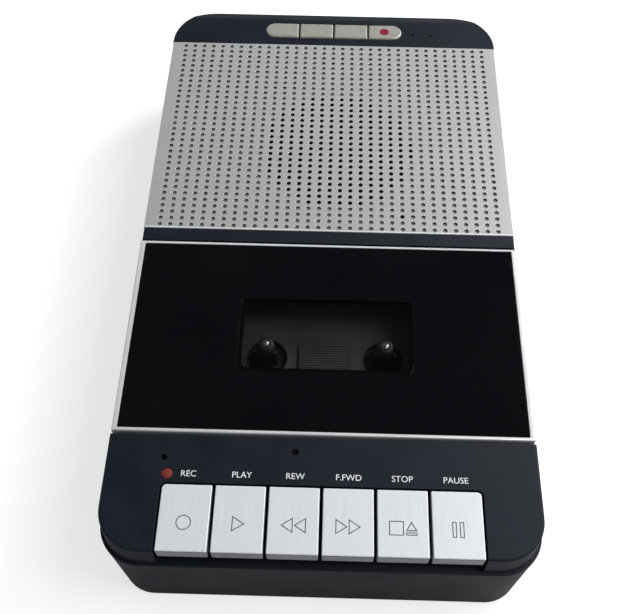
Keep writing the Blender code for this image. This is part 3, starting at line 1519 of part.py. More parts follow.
# Cassette well and deck
def make_tray():
    low_x = WELL_HALF_WIDTH + TRAY_WALL
    front = WELL_FRONT
    rear = WELL_REAR + TRAY_WALL
    top = LEDGE_BOTTOM - GAP
    tray = box("cassette_tray", (-low_x, front, TRAY_BOTTOM), (low_x, rear, top))
    cut(
        tray,
        box(
            "tray_inside",
            (-WELL_HALF_WIDTH, front - OVERRUN, WELL_FLOOR_Z),
            (WELL_HALF_WIDTH, WELL_REAR, top + OVERRUN),
        ),
        uprights(
            "reel_holes",
            reel_places(),
            TRAY_BOTTOM - OVERRUN,
            WELL_FLOOR_Z + OVERRUN,
            REEL_HOLE_RADIUS,
            SPEAKER_STEPS,
        ),
        uprights(
            "bearing_hole",
            [(CAPSTAN_X, CAPSTAN_Y)],
            TRAY_BOTTOM - OVERRUN,
            WELL_FLOOR_Z + OVERRUN,
            BEARING_RADIUS + GAP,
            SPINDLE_STEPS,
        ),
    )
    paint(tray, "black_plastic")

    rear_edge = REEL_Y + PAD_BEFORE_REELS
    low_z = WELL_FLOOR_Z + GAP
    high_z = low_z + PAD_HEIGHT
    outline = [(rear_edge, low_z), (rear_edge, high_z)]
    for i in range(int(PAD_LENGTH / PAD_RIB_PITCH)):
        y = rear_edge - i * PAD_RIB_PITCH
        outline += [
            (y - PAD_RIB_PITCH / 2, high_z),
            (y - PAD_RIB_PITCH / 2, high_z - PAD_RIB_HEIGHT),
            (y - PAD_RIB_PITCH, high_z - PAD_RIB_HEIGHT),
            (y - PAD_RIB_PITCH, high_z),
        ]
    outline.append((outline[-1][0], low_z))
    pad = flat_plate("cassette_rest_pad", [outline], -PAD_WIDTH / 2, PAD_WIDTH / 2, upright=True)
    paint(centre_origin(pad), "black_plastic")


def reel_places():
    return [(side * REEL_SPACING / 2, REEL_Y) for side in (-1, 1)]


def make_deck_plate():
    rear = POCKET_REAR - DECK_REAR
    plate = box(
        "deck_plate",
        (-DECK_HALF_WIDTH, BAY_REAR + DECK_FRONT, DECK_BOTTOM),
        (DECK_HALF_WIDTH, rear, DECK_TOP),
    )
    span = (DECK_BOTTOM - OVERRUN, DECK_TOP + OVERRUN)
    cut(
        plate,
        uprights("bearing_seat", [(CAPSTAN_X, CAPSTAN_Y)], *span, BEARING_RADIUS + GAP, SPINDLE_STEPS),
        box("left_tab_slot", *bracket_tab(-1, GAP)),
        box("right_tab_slot", *bracket_tab(1, GAP)),
    )
    screw = [
        (0, DECK_TOP + DECK_SCREW_HEAD),
        (DECK_SCREW_HEAD_RADIUS, DECK_TOP + DECK_SCREW_HEAD),
        (DECK_SCREW_HEAD_RADIUS, DECK_TOP - DECK_THICKNESS / 2),
        (DECK_SCREW_RADIUS, DECK_TOP - DECK_THICKNESS / 2),
        (DECK_SCREW_RADIUS, DECK_TOP - DECK_SCREW_LENGTH),
        (0, DECK_TOP - DECK_SCREW_LENGTH),
    ]
    join(
        plate,
        studs("deck_screws", screw, DECK_POSTS),
        studs("reel_shafts", reel_shaft_profile(), reel_places()),
        studs("head_guides", head_guide_profile(), head_guide_places()),
        studs("arm_post", arm_post_profile(), [arm_pivot()]),
    )
    paint(plate, "steel")


def studs(name, profile, places):
    """Turned studs that are riveted or screwed into the deck plate."""
    return copies(name, turned_mesh(name, profile, BOSS_STEPS), places)


def reel_shaft_profile():
    tip = CASE_TOP - SPINDLE_BELOW_TOP + REEL_SHAFT_PROUD
    middle = (DECK_TOP + DECK_BOTTOM) / 2
    return [
        (0, tip),
        (REEL_SHAFT_RADIUS, tip - REEL_SHAFT_PROUD / 2),
        (REEL_SHAFT_RADIUS, middle),
        (REEL_SHAFT_HEAD_RADIUS, middle),
        (REEL_SHAFT_HEAD_RADIUS, DECK_BOTTOM - REEL_SHAFT_HEAD),
        (0, DECK_BOTTOM - REEL_SHAFT_HEAD),
    ]


def make_spindle(name, place):
    tip = CASE_TOP - SPINDLE_BELOW_TOP
    foot = DECK_TOP + GAP
    bore = REEL_SHAFT_RADIUS + GAP
    profile = [
        (bore, tip),
        (SPINDLE_TIP_RADIUS, tip),
        (SPINDLE_RADIUS, tip - SPINDLE_TAPER),
        (SPINDLE_RADIUS, foot + SPINDLE_BASE_HEIGHT),
        (SPINDLE_BASE_RADIUS, foot + SPINDLE_BASE_HEIGHT),
        (SPINDLE_BASE_RADIUS, foot),
        (bore, foot),
    ]
    spindle = turned(name, profile, SPINDLE_STEPS, place, bored=True)
    middle = (bore + SPINDLE_RADIUS) / 2
    for i in range(FIN_COUNT):
        fin = box(
            name + "_fin",
            (middle, -FIN_WIDTH / 2, foot + FIN_ABOVE_BASE),
            (FIN_REACH, FIN_WIDTH / 2, tip - FIN_BELOW_TIP),
        )
        turn = Matrix.Rotation(math.tau * i / FIN_COUNT, 4, "Z")
        fin.data.transform(Matrix.Translation((*place, 0)) @ turn)
        join(spindle, fin)
    paint(spindle, "black_plastic")
    return set_origin(spindle, (*place, foot))


def make_reels():
    supply, take_up = reel_places()
    make_spindle("supply_spindle", supply)
    make_spindle("take_up_spindle", take_up)


# Capstan drive
def make_capstan():
    place = (CAPSTAN_X, CAPSTAN_Y)
    foot = STRAP_Z + STRAP_THICKNESS + GAP
    tip = CASE_TOP - CAPSTAN_BELOW_TOP
    bore = CAPSTAN_RADIUS + GAP
    top = FLYWHEEL_Z + FLYWHEEL_THICKNESS
    shaft = [(0, tip), (CAPSTAN_RADIUS, tip), (CAPSTAN_RADIUS, foot), (0, foot)]
    flywheel = [
        (bore, top + FLYWHEEL_HUB_RISE),
        (FLYWHEEL_HUB_RADIUS, top + FLYWHEEL_HUB_RISE),
        (FLYWHEEL_HUB_RADIUS, top - FLYWHEEL_DISH),
        (FLYWHEEL_RADIUS - FLYWHEEL_RIM, top - FLYWHEEL_DISH),
        (FLYWHEEL_RADIUS - FLYWHEEL_RIM, top),
        (FLYWHEEL_RADIUS, top),
        (FLYWHEEL_RADIUS, FLYWHEEL_Z),
        (bore, FLYWHEEL_Z),
    ]
    bearing_low = top + FLYWHEEL_HUB_RISE + GAP
    bearing = [
        (bore, DECK_TOP + BEARING_RISE),
        (BEARING_RADIUS, DECK_TOP + BEARING_RISE),
        (BEARING_RADIUS, bearing_low),
        (bore, bearing_low),
    ]
    paint(set_origin(turned("capstan_shaft", shaft, SPINDLE_STEPS, place), (*place, FLYWHEEL_Z)), "steel")
    wheel = turned("flywheel", flywheel, WHEEL_STEPS, place, bored=True)
    paint(set_origin(wheel, (*place, FLYWHEEL_Z)), "brass")
    paint(centre_origin(turned("capstan_bearing", bearing, SPINDLE_STEPS, place, bored=True)), "brass")
    make_strap()
    make_motor()


def make_strap():
    """The strap that hangs from the deck and carries the foot of the capstan."""
    reach = FLYWHEEL_RADIUS + STRAP_SIDE_GAP
    half = STRAP_WIDTH / 2
    thick = STRAP_THICKNESS
    outline = [
        (CAPSTAN_X - reach - thick, STRAP_Z),
        (CAPSTAN_X + reach + thick, STRAP_Z),
        (CAPSTAN_X + reach + thick, DECK_BOTTOM - GAP),
        (CAPSTAN_X + reach, DECK_BOTTOM - GAP),
        (CAPSTAN_X + reach, STRAP_Z + thick),
        (CAPSTAN_X - reach, STRAP_Z + thick),
        (CAPSTAN_X - reach, DECK_BOTTOM - GAP),
        (CAPSTAN_X - reach - thick, DECK_BOTTOM - GAP),
    ]
    strap = flat_plate("flywheel_bracket", [outline], -half, half)
    stand = Matrix.Translation((0, CAPSTAN_Y, 0)) @ Matrix.Rotation(math.pi / 2, 4, "X")
    strap.data.transform(stand)
    paint(centre_origin(strap), "steel")


def make_motor():
    place = (MOTOR_X, MOTOR_Y)
    top = DECK_BOTTOM - GAP
    pulley_top = FLYWHEEL_Z + FLYWHEEL_THICKNESS
    low = pulley_top + PULLEY_CLEARANCE
    bore = MOTOR_SHAFT_RADIUS + GAP
    shaft_top = low + MOTOR_SHAFT_DEPTH
    can = [
        (0, top),
        (MOTOR_RADIUS, top),
        (MOTOR_RADIUS, low + MOTOR_NECK),
        (MOTOR_NECK_RADIUS, low + MOTOR_NECK),
        (MOTOR_NECK_RADIUS, low),
        (bore, low),
        (bore, shaft_top + GAP),
        (0, shaft_top + GAP),
    ]
    pulley = [
        (0, shaft_top),
        (MOTOR_SHAFT_RADIUS, shaft_top),
        (MOTOR_SHAFT_RADIUS, pulley_top),
        (PULLEY_FLANGE_RADIUS, pulley_top),
        (PULLEY_FLANGE_RADIUS, pulley_top - PULLEY_FLANGE),
        (PULLEY_RADIUS, pulley_top - PULLEY_FLANGE),
        (PULLEY_RADIUS, FLYWHEEL_Z + PULLEY_FLANGE),
        (PULLEY_FLANGE_RADIUS, FLYWHEEL_Z + PULLEY_FLANGE),
        (PULLEY_FLANGE_RADIUS, FLYWHEEL_Z),
        (0, FLYWHEEL_Z),
    ]
    paint(centre_origin(turned("motor", can, SPEAKER_STEPS, place)), "steel")
    wheel = turned("motor_pulley", pulley, SPINDLE_STEPS, place)
    paint(set_origin(wheel, (*place, FLYWHEEL_Z)), "brass")
    outlines = [belt_loop(0), belt_loop(BELT_THICKNESS)]
    belt = flat_plate("drive_belt", [outlines[1], outlines[0]], BELT_Z, BELT_Z + BELT_HEIGHT)
    paint(centre_origin(smooth(belt)), "rubber")


def belt_loop(grow):
    """The belt's line round the pulley and the flywheel, pushed out by grow."""
    small = (MOTOR_X, MOTOR_Y, PULLEY_RADIUS + GAP + grow)
    large = (CAPSTAN_X, CAPSTAN_Y, FLYWHEEL_RADIUS + GAP + grow)
    along = math.degrees(math.atan2(large[1] - small[1], large[0] - small[0]))
    apart = math.hypot(large[0] - small[0], large[1] - small[1])
    lean = math.degrees(math.acos((large[2] - small[2]) / apart))
    far = 180 - lean
    round_large = arc(large[:2], large[2], along - far, along + far, 2 * BELT_ARC_STEPS)
    round_small = arc(small[:2], small[2], along + far, along + 360 - far, BELT_ARC_STEPS)
    return round_large + round_small


# Heads
def arm_pivot():
    """The post that the pinch arm turns on."""
    x, y = roller_place()
    angle = math.radians(ARM_REST_DEG)
    return (x - ARM_LENGTH * math.cos(angle), y - ARM_LENGTH * math.sin(angle))


def roller_place():
    return (CAPSTAN_X, CAPSTAN_Y - CAPSTAN_RADIUS - ROLLER_RADIUS - ROLLER_OFF)


def head_block(name, x, width, depth):
    face = BAY_REAR + HEAD_FACE
    low_z = HEAD_PLATE_TOP + GAP
    bm = bmesh.new()
    add_box(bm, (x - width / 2, face - depth, low_z), (x + width / 2, face, low_z + HEAD_BLOCK_HEIGHT))
    nose = [e for e in upright_edges(bm) if e.verts[0].co.y > face - depth / 2]
    bevel(bm, nose, HEAD_NOSE, HEAD_NOSE_STEPS)
    block = from_bmesh(name, bm)
    paint(smooth(block), "steel")
    return set_origin(block, (x, face, low_z))


def make_heads():
    front = BAY_REAR + HEAD_PLATE_FRONT
    rear = BAY_REAR + HEAD_PLATE_REAR
    plate = box(
        "head_plate",
        (-HEAD_PLATE_LEFT, front, HEAD_PLATE_Z),
        (HEAD_PLATE_RIGHT, rear, HEAD_PLATE_TOP),
    )
    slot_half = GUIDE_PIN_RADIUS + GAP
    slots = []
    for x, guide_y in head_guide_places():
        slots.append(
            (
                (x - slot_half, guide_y - slot_half - HEAD_TRAVEL - GAP, HEAD_PLATE_Z - OVERRUN),
                (x + slot_half, guide_y + slot_half, HEAD_PLATE_TOP + OVERRUN),
            )
        )
    cut(plate, boxes("guide_slots", slots))
    paint(plate, "steel")
    set_origin(plate, (0, front, HEAD_PLATE_Z))
    head_block("record_play_head", 0, PLAY_HEAD_WIDTH, PLAY_HEAD_DEPTH)
    head_block("erase_head", ERASE_HEAD_X, ERASE_HEAD_WIDTH, ERASE_HEAD_DEPTH)

    make_pinch_arm()


def head_guide_places():
    guide_y = BAY_REAR + GUIDE_BEHIND_BAY
    return [(GUIDE_X_LEFT, guide_y), (GUIDE_X_RIGHT, guide_y)]


def head_guide_profile():
    cap_low = HEAD_PLATE_TOP + GAP
    foot = (DECK_TOP + DECK_BOTTOM) / 2
    return [
        (0, cap_low + GUIDE_CAP),
        (GUIDE_RADIUS, cap_low + GUIDE_CAP),
        (GUIDE_RADIUS, cap_low),
        (GUIDE_PIN_RADIUS, cap_low),
        (GUIDE_PIN_RADIUS, HEAD_PLATE_Z - GAP),
        (GUIDE_RADIUS, HEAD_PLATE_Z - GAP),
        (GUIDE_RADIUS, foot),
        (0, foot),
    ]


def make_pinch_arm():
    pivot = arm_pivot()
    roller = roller_place()
    low_z = HEAD_PLATE_TOP + GAP
    high_z = low_z + ARM_THICKNESS
    turn = ARM_REST_DEG
    outline = arc(roller, ARM_END_RADIUS, turn - 90, turn + 90, BELT_ARC_STEPS)
    outline += arc(pivot, ARM_END_RADIUS, turn + 90, turn + 270, BELT_ARC_STEPS)
    arm = flat_plate("pinch_arm", [outline], low_z, high_z)
    pin_top = high_z + 2 * GAP + ROLLER_HEIGHT
    pin = uprights("roller_pin", [roller], (low_z + high_z) / 2, pin_top, ROLLER_PIN_RADIUS, LAMP_STEPS)
    join(arm, pin)
    hole = ARM_POST_RADIUS + GAP
    cut(arm, uprights("arm_hole", [pivot], low_z - OVERRUN, high_z + OVERRUN, hole, BOSS_STEPS))
    paint(arm, "steel")
    set_origin(arm, (*pivot, low_z))
    bore = ROLLER_PIN_RADIUS + GAP
    wheel_low = high_z + GAP
    wheel = [
        (bore, wheel_low + ROLLER_HEIGHT),
        (ROLLER_RADIUS, wheel_low + ROLLER_HEIGHT),
        (ROLLER_RADIUS, wheel_low),
        (bore, wheel_low),
    ]
    roller_obj = turned("pinch_roller", wheel, SPINDLE_STEPS, roller, bored=True)
    paint(set_origin(roller_obj, (*roller, wheel_low)), "rubber")


def arm_post_profile():
    """The post in the deck plate that holds the pinch arm under its cap."""
    arm_low = HEAD_PLATE_TOP + GAP
    cap_low = arm_low + ARM_THICKNESS + GAP
    foot = (DECK_TOP + DECK_BOTTOM) / 2
    return [
        (0, cap_low + ARM_POST_CAP),
        (ARM_POST_SHOULDER, cap_low + ARM_POST_CAP),
        (ARM_POST_SHOULDER, cap_low),
        (ARM_POST_RADIUS, cap_low),
        (ARM_POST_RADIUS, arm_low - GAP),
        (ARM_POST_SHOULDER, arm_low - GAP),
        (ARM_POST_SHOULDER, foot),
        (0, foot),
    ]


# Rear buttons
def pill_outline(left, right, round_left, round_right, grow=0):
    """The outline of a button of the rear row, with a round end where asked."""
    radius = BUTTON_LENGTH / 2 + grow
    low, high = BUTTON_Y - radius, BUTTON_Y + radius
    if round_right:
        outline = arc((right - radius, BUTTON_Y), radius, -90, 90, BUTTON_END_STEPS)
    else:
        outline = [(right, low), (right, high)]
    if round_left:
        outline += arc((left + radius, BUTTON_Y), radius, 90, 270, BUTTON_END_STEPS)
    else:
        outline += [(left, high), (left, low)]
    return outline


def button_spans():
    pitch = (BUTTON_ROW_WIDTH + BUTTON_GAP) / BUTTON_COUNT
    first = -BUTTON_ROW_WIDTH / 2
    return [(first + i * pitch, first + (i + 1) * pitch - BUTTON_GAP) for i in range(BUTTON_COUNT)]


def make_rear_buttons():
    names = ("memory_play_button", "memory_back_button", "memory_next_button", "memory_record_button")
    radius = BUTTON_LENGTH / 2
    reach = radius + BUTTON_FLANGE_REACH
    last = BUTTON_COUNT - 1
    for i, (name, (left, right)) in enumerate(zip(names, button_spans())):
        outline = pill_outline(left, right, i == 0, i == last)
        flange_top = ROOF_Z - GAP
        cap = flat_plate(name, [outline], (BUTTON_BOTTOM + flange_top) / 2, CASE_TOP + BUTTON_PROUD)
        flange_left = left + (radius if i == 0 else 0)
        flange_right = right - (radius if i == last else 0)
        flange = box(
            name + "_flange",
            (flange_left + GAP, BUTTON_Y - reach, BUTTON_BOTTOM),
            (flange_right - GAP, BUTTON_Y + reach, flange_top),
        )
        join(cap, flange)
        paint(cap, "silver_paint")
        set_origin(cap, ((left + right) / 2, BUTTON_Y, BUTTON_BOTTOM))
    make_button_board()


def make_button_board():
    board = box(
        "button_board",
        (-BUTTON_BOARD_LEFT, HALF_LENGTH - BUTTON_BOARD_FRONT, BUTTON_BOARD_Z),
        (BUTTON_BOARD_RIGHT, HALF_LENGTH - BUTTON_BOARD_REAR, BUTTON_BOARD_TOP),
    )
    switch_top = BUTTON_BOTTOM - BUTTON_TRAVEL_ROOM
    inside = (BUTTON_BOARD_Z + BUTTON_BOARD_TOP) / 2
    half = SWITCH_WIDTH / 2
    switches = []
    for left, right in button_spans():
        x = (left + right) / 2
        switches.append(((x - half, BUTTON_Y - half, inside), (x + half, BUTTON_Y + half, switch_top)))
    lamp_top = CASE_TOP - LAMP_SUNK
    lamp = [
        (0, lamp_top),
        (STATUS_LED_RADIUS, lamp_top),
        (STATUS_LED_RADIUS, ROOF_Z - GAP),
        (STATUS_LED_BASE_RADIUS, ROOF_Z - GAP),
        (STATUS_LED_BASE_RADIUS, inside),
        (0, inside),
    ]
    lamps = copies("status_lamps", turned_mesh("status_lamps", lamp, LAMP_STEPS), status_places())
    join(board, boxes("switches", switches), lamps)
    paint(board, "board_green")


# Lamps and microphone
def status_places():
    return [(x, HALF_LENGTH - STATUS_LED_FROM_REAR) for x in STATUS_LED_X]


def record_led_place():
    return (RECORD_LED_X, BAY_REAR + RECORD_LED_BEHIND_BAY)


def power_led_place():
    return (POWER_LED_X, BAY_REAR + POWER_LED_BEHIND_BAY)


def mic_place():
    return (MIC_X, BAY_REAR + MIC_BEHIND_BAY)


def make_lamps():
    record = [
        (0, CASE_TOP + LED_PROUD),
        (RECORD_LED_RADIUS, CASE_TOP),
        (RECORD_LED_RADIUS, CASE_TOP - RECORD_LED_DEPTH),
        (0, CASE_TOP - RECORD_LED_DEPTH),
    ]
    paint(centre_origin(turned("record_led", record, LAMP_STEPS, record_led_place())), "red_lens")
    low_z = CASE_TOP - POWER_LED_DEPTH
    power = [
        (0, CASE_TOP - LAMP_SUNK),
        (POWER_LED_RADIUS, CASE_TOP - LAMP_SUNK),
        (POWER_LED_RADIUS, low_z),
        (0, low_z),
    ]
    paint(centre_origin(turned("power_led", power, LAMP_STEPS, power_led_place())), "dark_lens")
    mic_top = BAND_ROOF_Z - GAP
    mic = [(0, mic_top), (MIC_RADIUS, mic_top), (MIC_RADIUS, mic_top - MIC_HEIGHT), (0, mic_top - MIC_HEIGHT)]
    paint(centre_origin(turned("microphone", mic, SPINDLE_STEPS, mic_place())), "steel")


# Main board and side controls
def jack_places():
    """Where the microphone, earphone and supply sockets are along the right side."""
    ear = VOLUME_Y - EAR_JACK_AHEAD
    return (ear - JACK_PITCH, ear, VOLUME_Y + DC_JACK_BEHIND)


def jack(name, places, pin_radius=0):
    """Round sockets in the side of the case, on one body that stands on the main board."""
    face = BASE_HALF_WIDTH - JACK_SUNK
    back = face - JACK_BACK
    half = JACK_BODY / 2 - GAP
    body_front = back + JACK_BODY_LENGTH
    low_z = MAIN_BOARD_TOP + GAP
    body = box(name, (back, min(places) - half, low_z), (body_front, max(places) + half, low_z + JACK_BODY))
    sleeve_start = (back + body_front) / 2
    sleeves = [((sleeve_start, y, JACK_Z), (face, y, JACK_Z)) for y in places]
    join(body, rods(name + "_sleeves", sleeves, JACK_RADIUS, JACK_STEPS))
    bore_start = back + JACK_BACK / 4
    bores = [((bore_start, y, JACK_Z), (face + OVERRUN, y, JACK_Z)) for y in places]
    cut(body, rods(name + "_bores", bores, JACK_BORE, JACK_STEPS))
    if pin_radius:
        pins = [((bore_start - GAP, y, JACK_Z), (face - JACK_SUNK, y, JACK_Z)) for y in places]
        join(body, rods(name + "_pins", pins, pin_radius, LAMP_STEPS))
    return paint(body, "black_plastic")


def make_main_board():
    board = box(
        "main_board",
        (-MAIN_BOARD_LEFT, MAIN_BOARD_FRONT, MAIN_BOARD_Z),
        (MAIN_BOARD_RIGHT, MAIN_BOARD_REAR, MAIN_BOARD_TOP),
    )
    low_z = (MAIN_BOARD_Z + MAIN_BOARD_TOP) / 2
    first_x = -MAIN_BOARD_LEFT + CAN_PITCH
    can_y = MAIN_BOARD_FRONT + CAN_PITCH
    cans = [(first_x, can_y + i * CAN_PITCH) for i in range(CAN_COUNT)]
    chips = []
    for x in (-CHIP_LENGTH, CHIP_LENGTH):
        y = (MAIN_BOARD_FRONT + MAIN_BOARD_REAR) / 2
        chips.append(
            (
                (x - CHIP_LENGTH / 2, y - CHIP_WIDTH / 2, low_z),
                (x + CHIP_LENGTH / 2, y + CHIP_WIDTH / 2, MAIN_BOARD_TOP + CHIP_HEIGHT),
            )
        )
    can_top = MAIN_BOARD_TOP + CAN_HEIGHT
    half = VOLUME_BODY / 2
    control = box(
        "volume_control",
        (VOLUME_X - half, VOLUME_Y - half, low_z),
        (VOLUME_X + half, VOLUME_Y + half, VOLUME_Z - GAP),
    )
    stem_top = VOLUME_Z + VOLUME_THICKNESS
    join(
        board,
        uprights("board_cans", cans, low_z, can_top, CAN_RADIUS, SPINDLE_STEPS),
        boxes("board_chips", chips),
        control,
        uprights("stem", [(VOLUME_X, VOLUME_Y)], low_z, stem_top, VOLUME_STEM_RADIUS, BOSS_STEPS),
    )
    paint(board, "board_green")
    mic, ear, dc = jack_places()
    jack("audio_jacks", [mic, ear])
    jack("dc_jack", [dc], DC_PIN_RADIUS)
    make_volume()


def make_volume():
    place = (VOLUME_X, VOLUME_Y)
    outline = []
    for i in range(2 * VOLUME_TEETH):
        radius = VOLUME_RADIUS - (i % 2) * VOLUME_NOTCH
        outline += arc(place, radius, 180 * i / VOLUME_TEETH, 180 * (i + 1) / VOLUME_TEETH, 1)
    hole = arc(place, VOLUME_HOLE_RADIUS, 0, 330, BOSS_STEPS - 1)
    wheel = flat_plate("volume_wheel", [outline, hole], VOLUME_Z, VOLUME_Z + VOLUME_THICKNESS)
    paint(wheel, "black_plastic")
    set_origin(wheel, (*place, VOLUME_Z))


# Rear socket
def usb_box(margin, overrun):
    """The rear socket's outside, or with a margin its hole in the wall."""
    rear = RIM_HALF_LENGTH - USB_SUNK
    half = USB_WIDTH / 2 + margin
    low_z = BUTTON_BOARD_TOP + GAP
    return (
        (USB_X - half, rear - USB_LENGTH - margin, low_z - margin),
        (USB_X + half, rear + overrun, low_z + USB_HEIGHT + margin),
    )


def make_usb_socket():
    low, high = usb_box(0, 0)
    shell = box("usb_socket", low, high)
    thick = USB_SHELL
    inner_low = (low[0] + thick, low[1] + thick, low[2] + thick)
    inner_high = (high[0] - thick, high[1] + OVERRUN, high[2] - thick)
    cut(shell, box("usb_inside", inner_low, inner_high))
    tongue_z = (low[2] + high[2]) / 2
    tongue = box(
        "usb_tongue",
        (low[0] + 2 * USB_TONGUE, low[1] + thick / 2, tongue_z),
        (high[0] - 2 * USB_TONGUE, low[1] + USB_TONGUE_LENGTH, tongue_z + USB_TONGUE),
    )
    join(shell, tongue)
    return paint(shell, "steel")


def main():
    clear_scene()
    new_collection(COLLECTION)
    new_collection(CUTTERS)
    make_upper_housing()
    make_lower_housing()
    make_case_fittings()
    make_battery_door()
    make_battery_contacts()
    make_speaker_grille()
    make_speaker()
    make_door()
    make_keys()
    make_key_bracket()
    make_tray()
    make_deck_plate()
    make_reels()
    make_capstan()
    make_heads()
    make_rear_buttons()
    make_lamps()
    make_main_board()
    make_usb_socket()
    bpy.context.view_layer.update()


main()
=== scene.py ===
"""Looks of a flat cassette recorder: moulded case, pierced speaker plate, windowed lid and silver keys.
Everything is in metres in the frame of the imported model, keys at -Y, speaker at +Y, feet on z = 0."""

import json
import math

import bmesh
import bpy
from mathutils import Matrix, Vector


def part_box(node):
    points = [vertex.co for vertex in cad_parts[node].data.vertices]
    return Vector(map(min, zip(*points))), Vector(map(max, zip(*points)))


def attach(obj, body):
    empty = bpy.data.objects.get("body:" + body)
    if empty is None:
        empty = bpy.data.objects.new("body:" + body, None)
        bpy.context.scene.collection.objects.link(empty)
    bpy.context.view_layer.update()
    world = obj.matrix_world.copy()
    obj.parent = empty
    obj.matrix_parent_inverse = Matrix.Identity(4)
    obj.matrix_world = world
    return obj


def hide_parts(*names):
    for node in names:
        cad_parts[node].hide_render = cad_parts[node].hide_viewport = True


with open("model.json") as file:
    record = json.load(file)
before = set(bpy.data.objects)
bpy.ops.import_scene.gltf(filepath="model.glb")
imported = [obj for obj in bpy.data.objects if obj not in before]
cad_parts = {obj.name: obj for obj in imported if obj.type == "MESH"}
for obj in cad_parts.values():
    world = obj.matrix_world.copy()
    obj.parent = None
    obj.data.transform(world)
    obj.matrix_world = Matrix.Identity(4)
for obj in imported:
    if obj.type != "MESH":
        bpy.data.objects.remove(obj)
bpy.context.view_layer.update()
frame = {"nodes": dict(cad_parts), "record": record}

# Working tolerances
TINY = 0.000002
JOIN = 0.00001
OVERRUN = 0.004
MARGIN = 0.001
GAP = 0.0003

# Roundings that a mould leaves
CORNER_STEPS = 18
PILL_STEPS = 12
EDGE_STEPS = 4
TURNED_STEPS = 48
SMALL_STEPS = 24
FINE_EDGE = 0.00018
SMALL_EDGE = 0.0002
CAD_EDGE = 0.00015
TRAY_EDGE = 0.00025
THIN_EDGE = 0.0001
CONTACT_EDGE = 0.00005
SMOOTH_ANGLE = 38.0
SHARP_ANGLE = 42.0

# Case, read from the frame where the frame says it
UPPER_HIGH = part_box("upper_housing")[1]
LOWER_LOW, LOWER_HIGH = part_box("lower_housing")
CASE_TOP = UPPER_HIGH.z
SEAM_Z = LOWER_HIGH.z
RIDGE_BOTTOM = SEAM_Z + GAP
RIDGE_TOP = RIDGE_BOTTOM + 0.0021
RIDGE_HALF = Vector((UPPER_HIGH.x, UPPER_HIGH.y))
RIM_HALF = RIDGE_HALF - Vector((0.0005, 0.00055))
TOP_HALF = RIM_HALF - Vector((0.0005, 0.00075))
RIM_SHIFT = 0.00025
TOP_SHIFT = 0.0007
LOWER_HALF = Vector((LOWER_HIGH.x, LOWER_HIGH.y))
BASE_HALF = LOWER_HALF - Vector((0.0003, 0.0001))
BASE_Z = LOWER_LOW.z
CORNERS = (0.0140, 0.0190)
LOWER_CORNERS = (0.0125, 0.0180)
WALL = 0.0022
TOP_ROUND = 0.0008
RIDGE_ROUND = 0.00045
BASE_ROUND = 0.0008
LEDGE_BOTTOM = 0.0422
SLOPE_LENGTH = 0.0048
SLOPE_DROP = 0.0016
SIDE_STEP = 0.0006

# Door pocket, well and grille seat
TRIM_LOW, TRIM_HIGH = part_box("door_trim")
WINDOW_LOW, WINDOW_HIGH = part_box("door_window")
GRILLE_LOW, GRILLE_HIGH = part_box("speaker_grille")
TRAY_LOW, TRAY_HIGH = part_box("cassette_tray")
POCKET_FRONT = TRIM_LOW.y - 0.0011
POCKET_REAR = TRIM_HIGH.y + 0.00045
LEDGE_Z = TRIM_LOW.z - 0.0006
TRENCH_Z = LEDGE_Z - 0.0011
TRENCH_LENGTH = 0.0095
WELL_HALF = 0.0520
WELL_FRONT = TRAY_LOW.y
WELL_REAR = TRAY_HIGH.y - 0.0015
HEAD_WINDOW_TOP = LEDGE_Z - 0.0012
HEAD_WINDOW_REACH = 0.0023
SEAT_Z = GRILLE_LOW.z - GAP
SPEAKER_PLACE = (0.0028, 0.0420)
SPEAKER_RADIUS = 0.0296
HINGE_PLACE = (-0.00825, 0.0478)
HINGE_XS = (-0.0560, 0.0560)
EYE_RADIUS = 0.0014
EYE_WIDTH = 0.0040
EYE_BORE = 0.0009
EYE_BORE_STEPS = 20
EYE_MOUTH = 0.0005
HOOK_LOW = Vector((0.0560, -0.0800, 0.0360))
HOOK_HIGH = Vector((0.0620, -0.0762, 0.0500))
LAMP_HOLE_DEPTH = 0.0043
USB_CORNER = 0.0012

# Lower half: cell bay, hatch track, wells and side openings
PLACES = ("front_left", "front_right", "rear_left", "rear_right")
FOOT_NAMES = ["rubber_foot_" + place for place in PLACES]
SCREW_NAMES = ["housing_screw_" + place for place in PLACES]
FLOOR_THICK = 0.0020
BAY_WALL = 0.0015
BAY_HEIGHT = 0.0273
HATCH_LEDGE = 0.0017
FOOT_POCKET = (0.0053, 0.0006)
SCREW_WELL = (0.0030, 0.0023)
WHEEL_SLOT_HALF = 0.00855
WHEEL_SLOT_ROOM = 0.0006
SIDE_BAND = 0.0012
SEAM_BAND = 0.0001

# Lid
TRIM_SLOPE = 0.0006
FRAME_WIDTH = 0.0012
FRAME_REAR_ROUND = 0.0008
FRAME_UNDERCUT = 0.0020
FRAME_INSIDE_CORNER = 0.0004
WINDOW_MARGIN = 0.00025
WINDOW_CORNER = 0.0019
WINDOW_EDGE = 0.00015

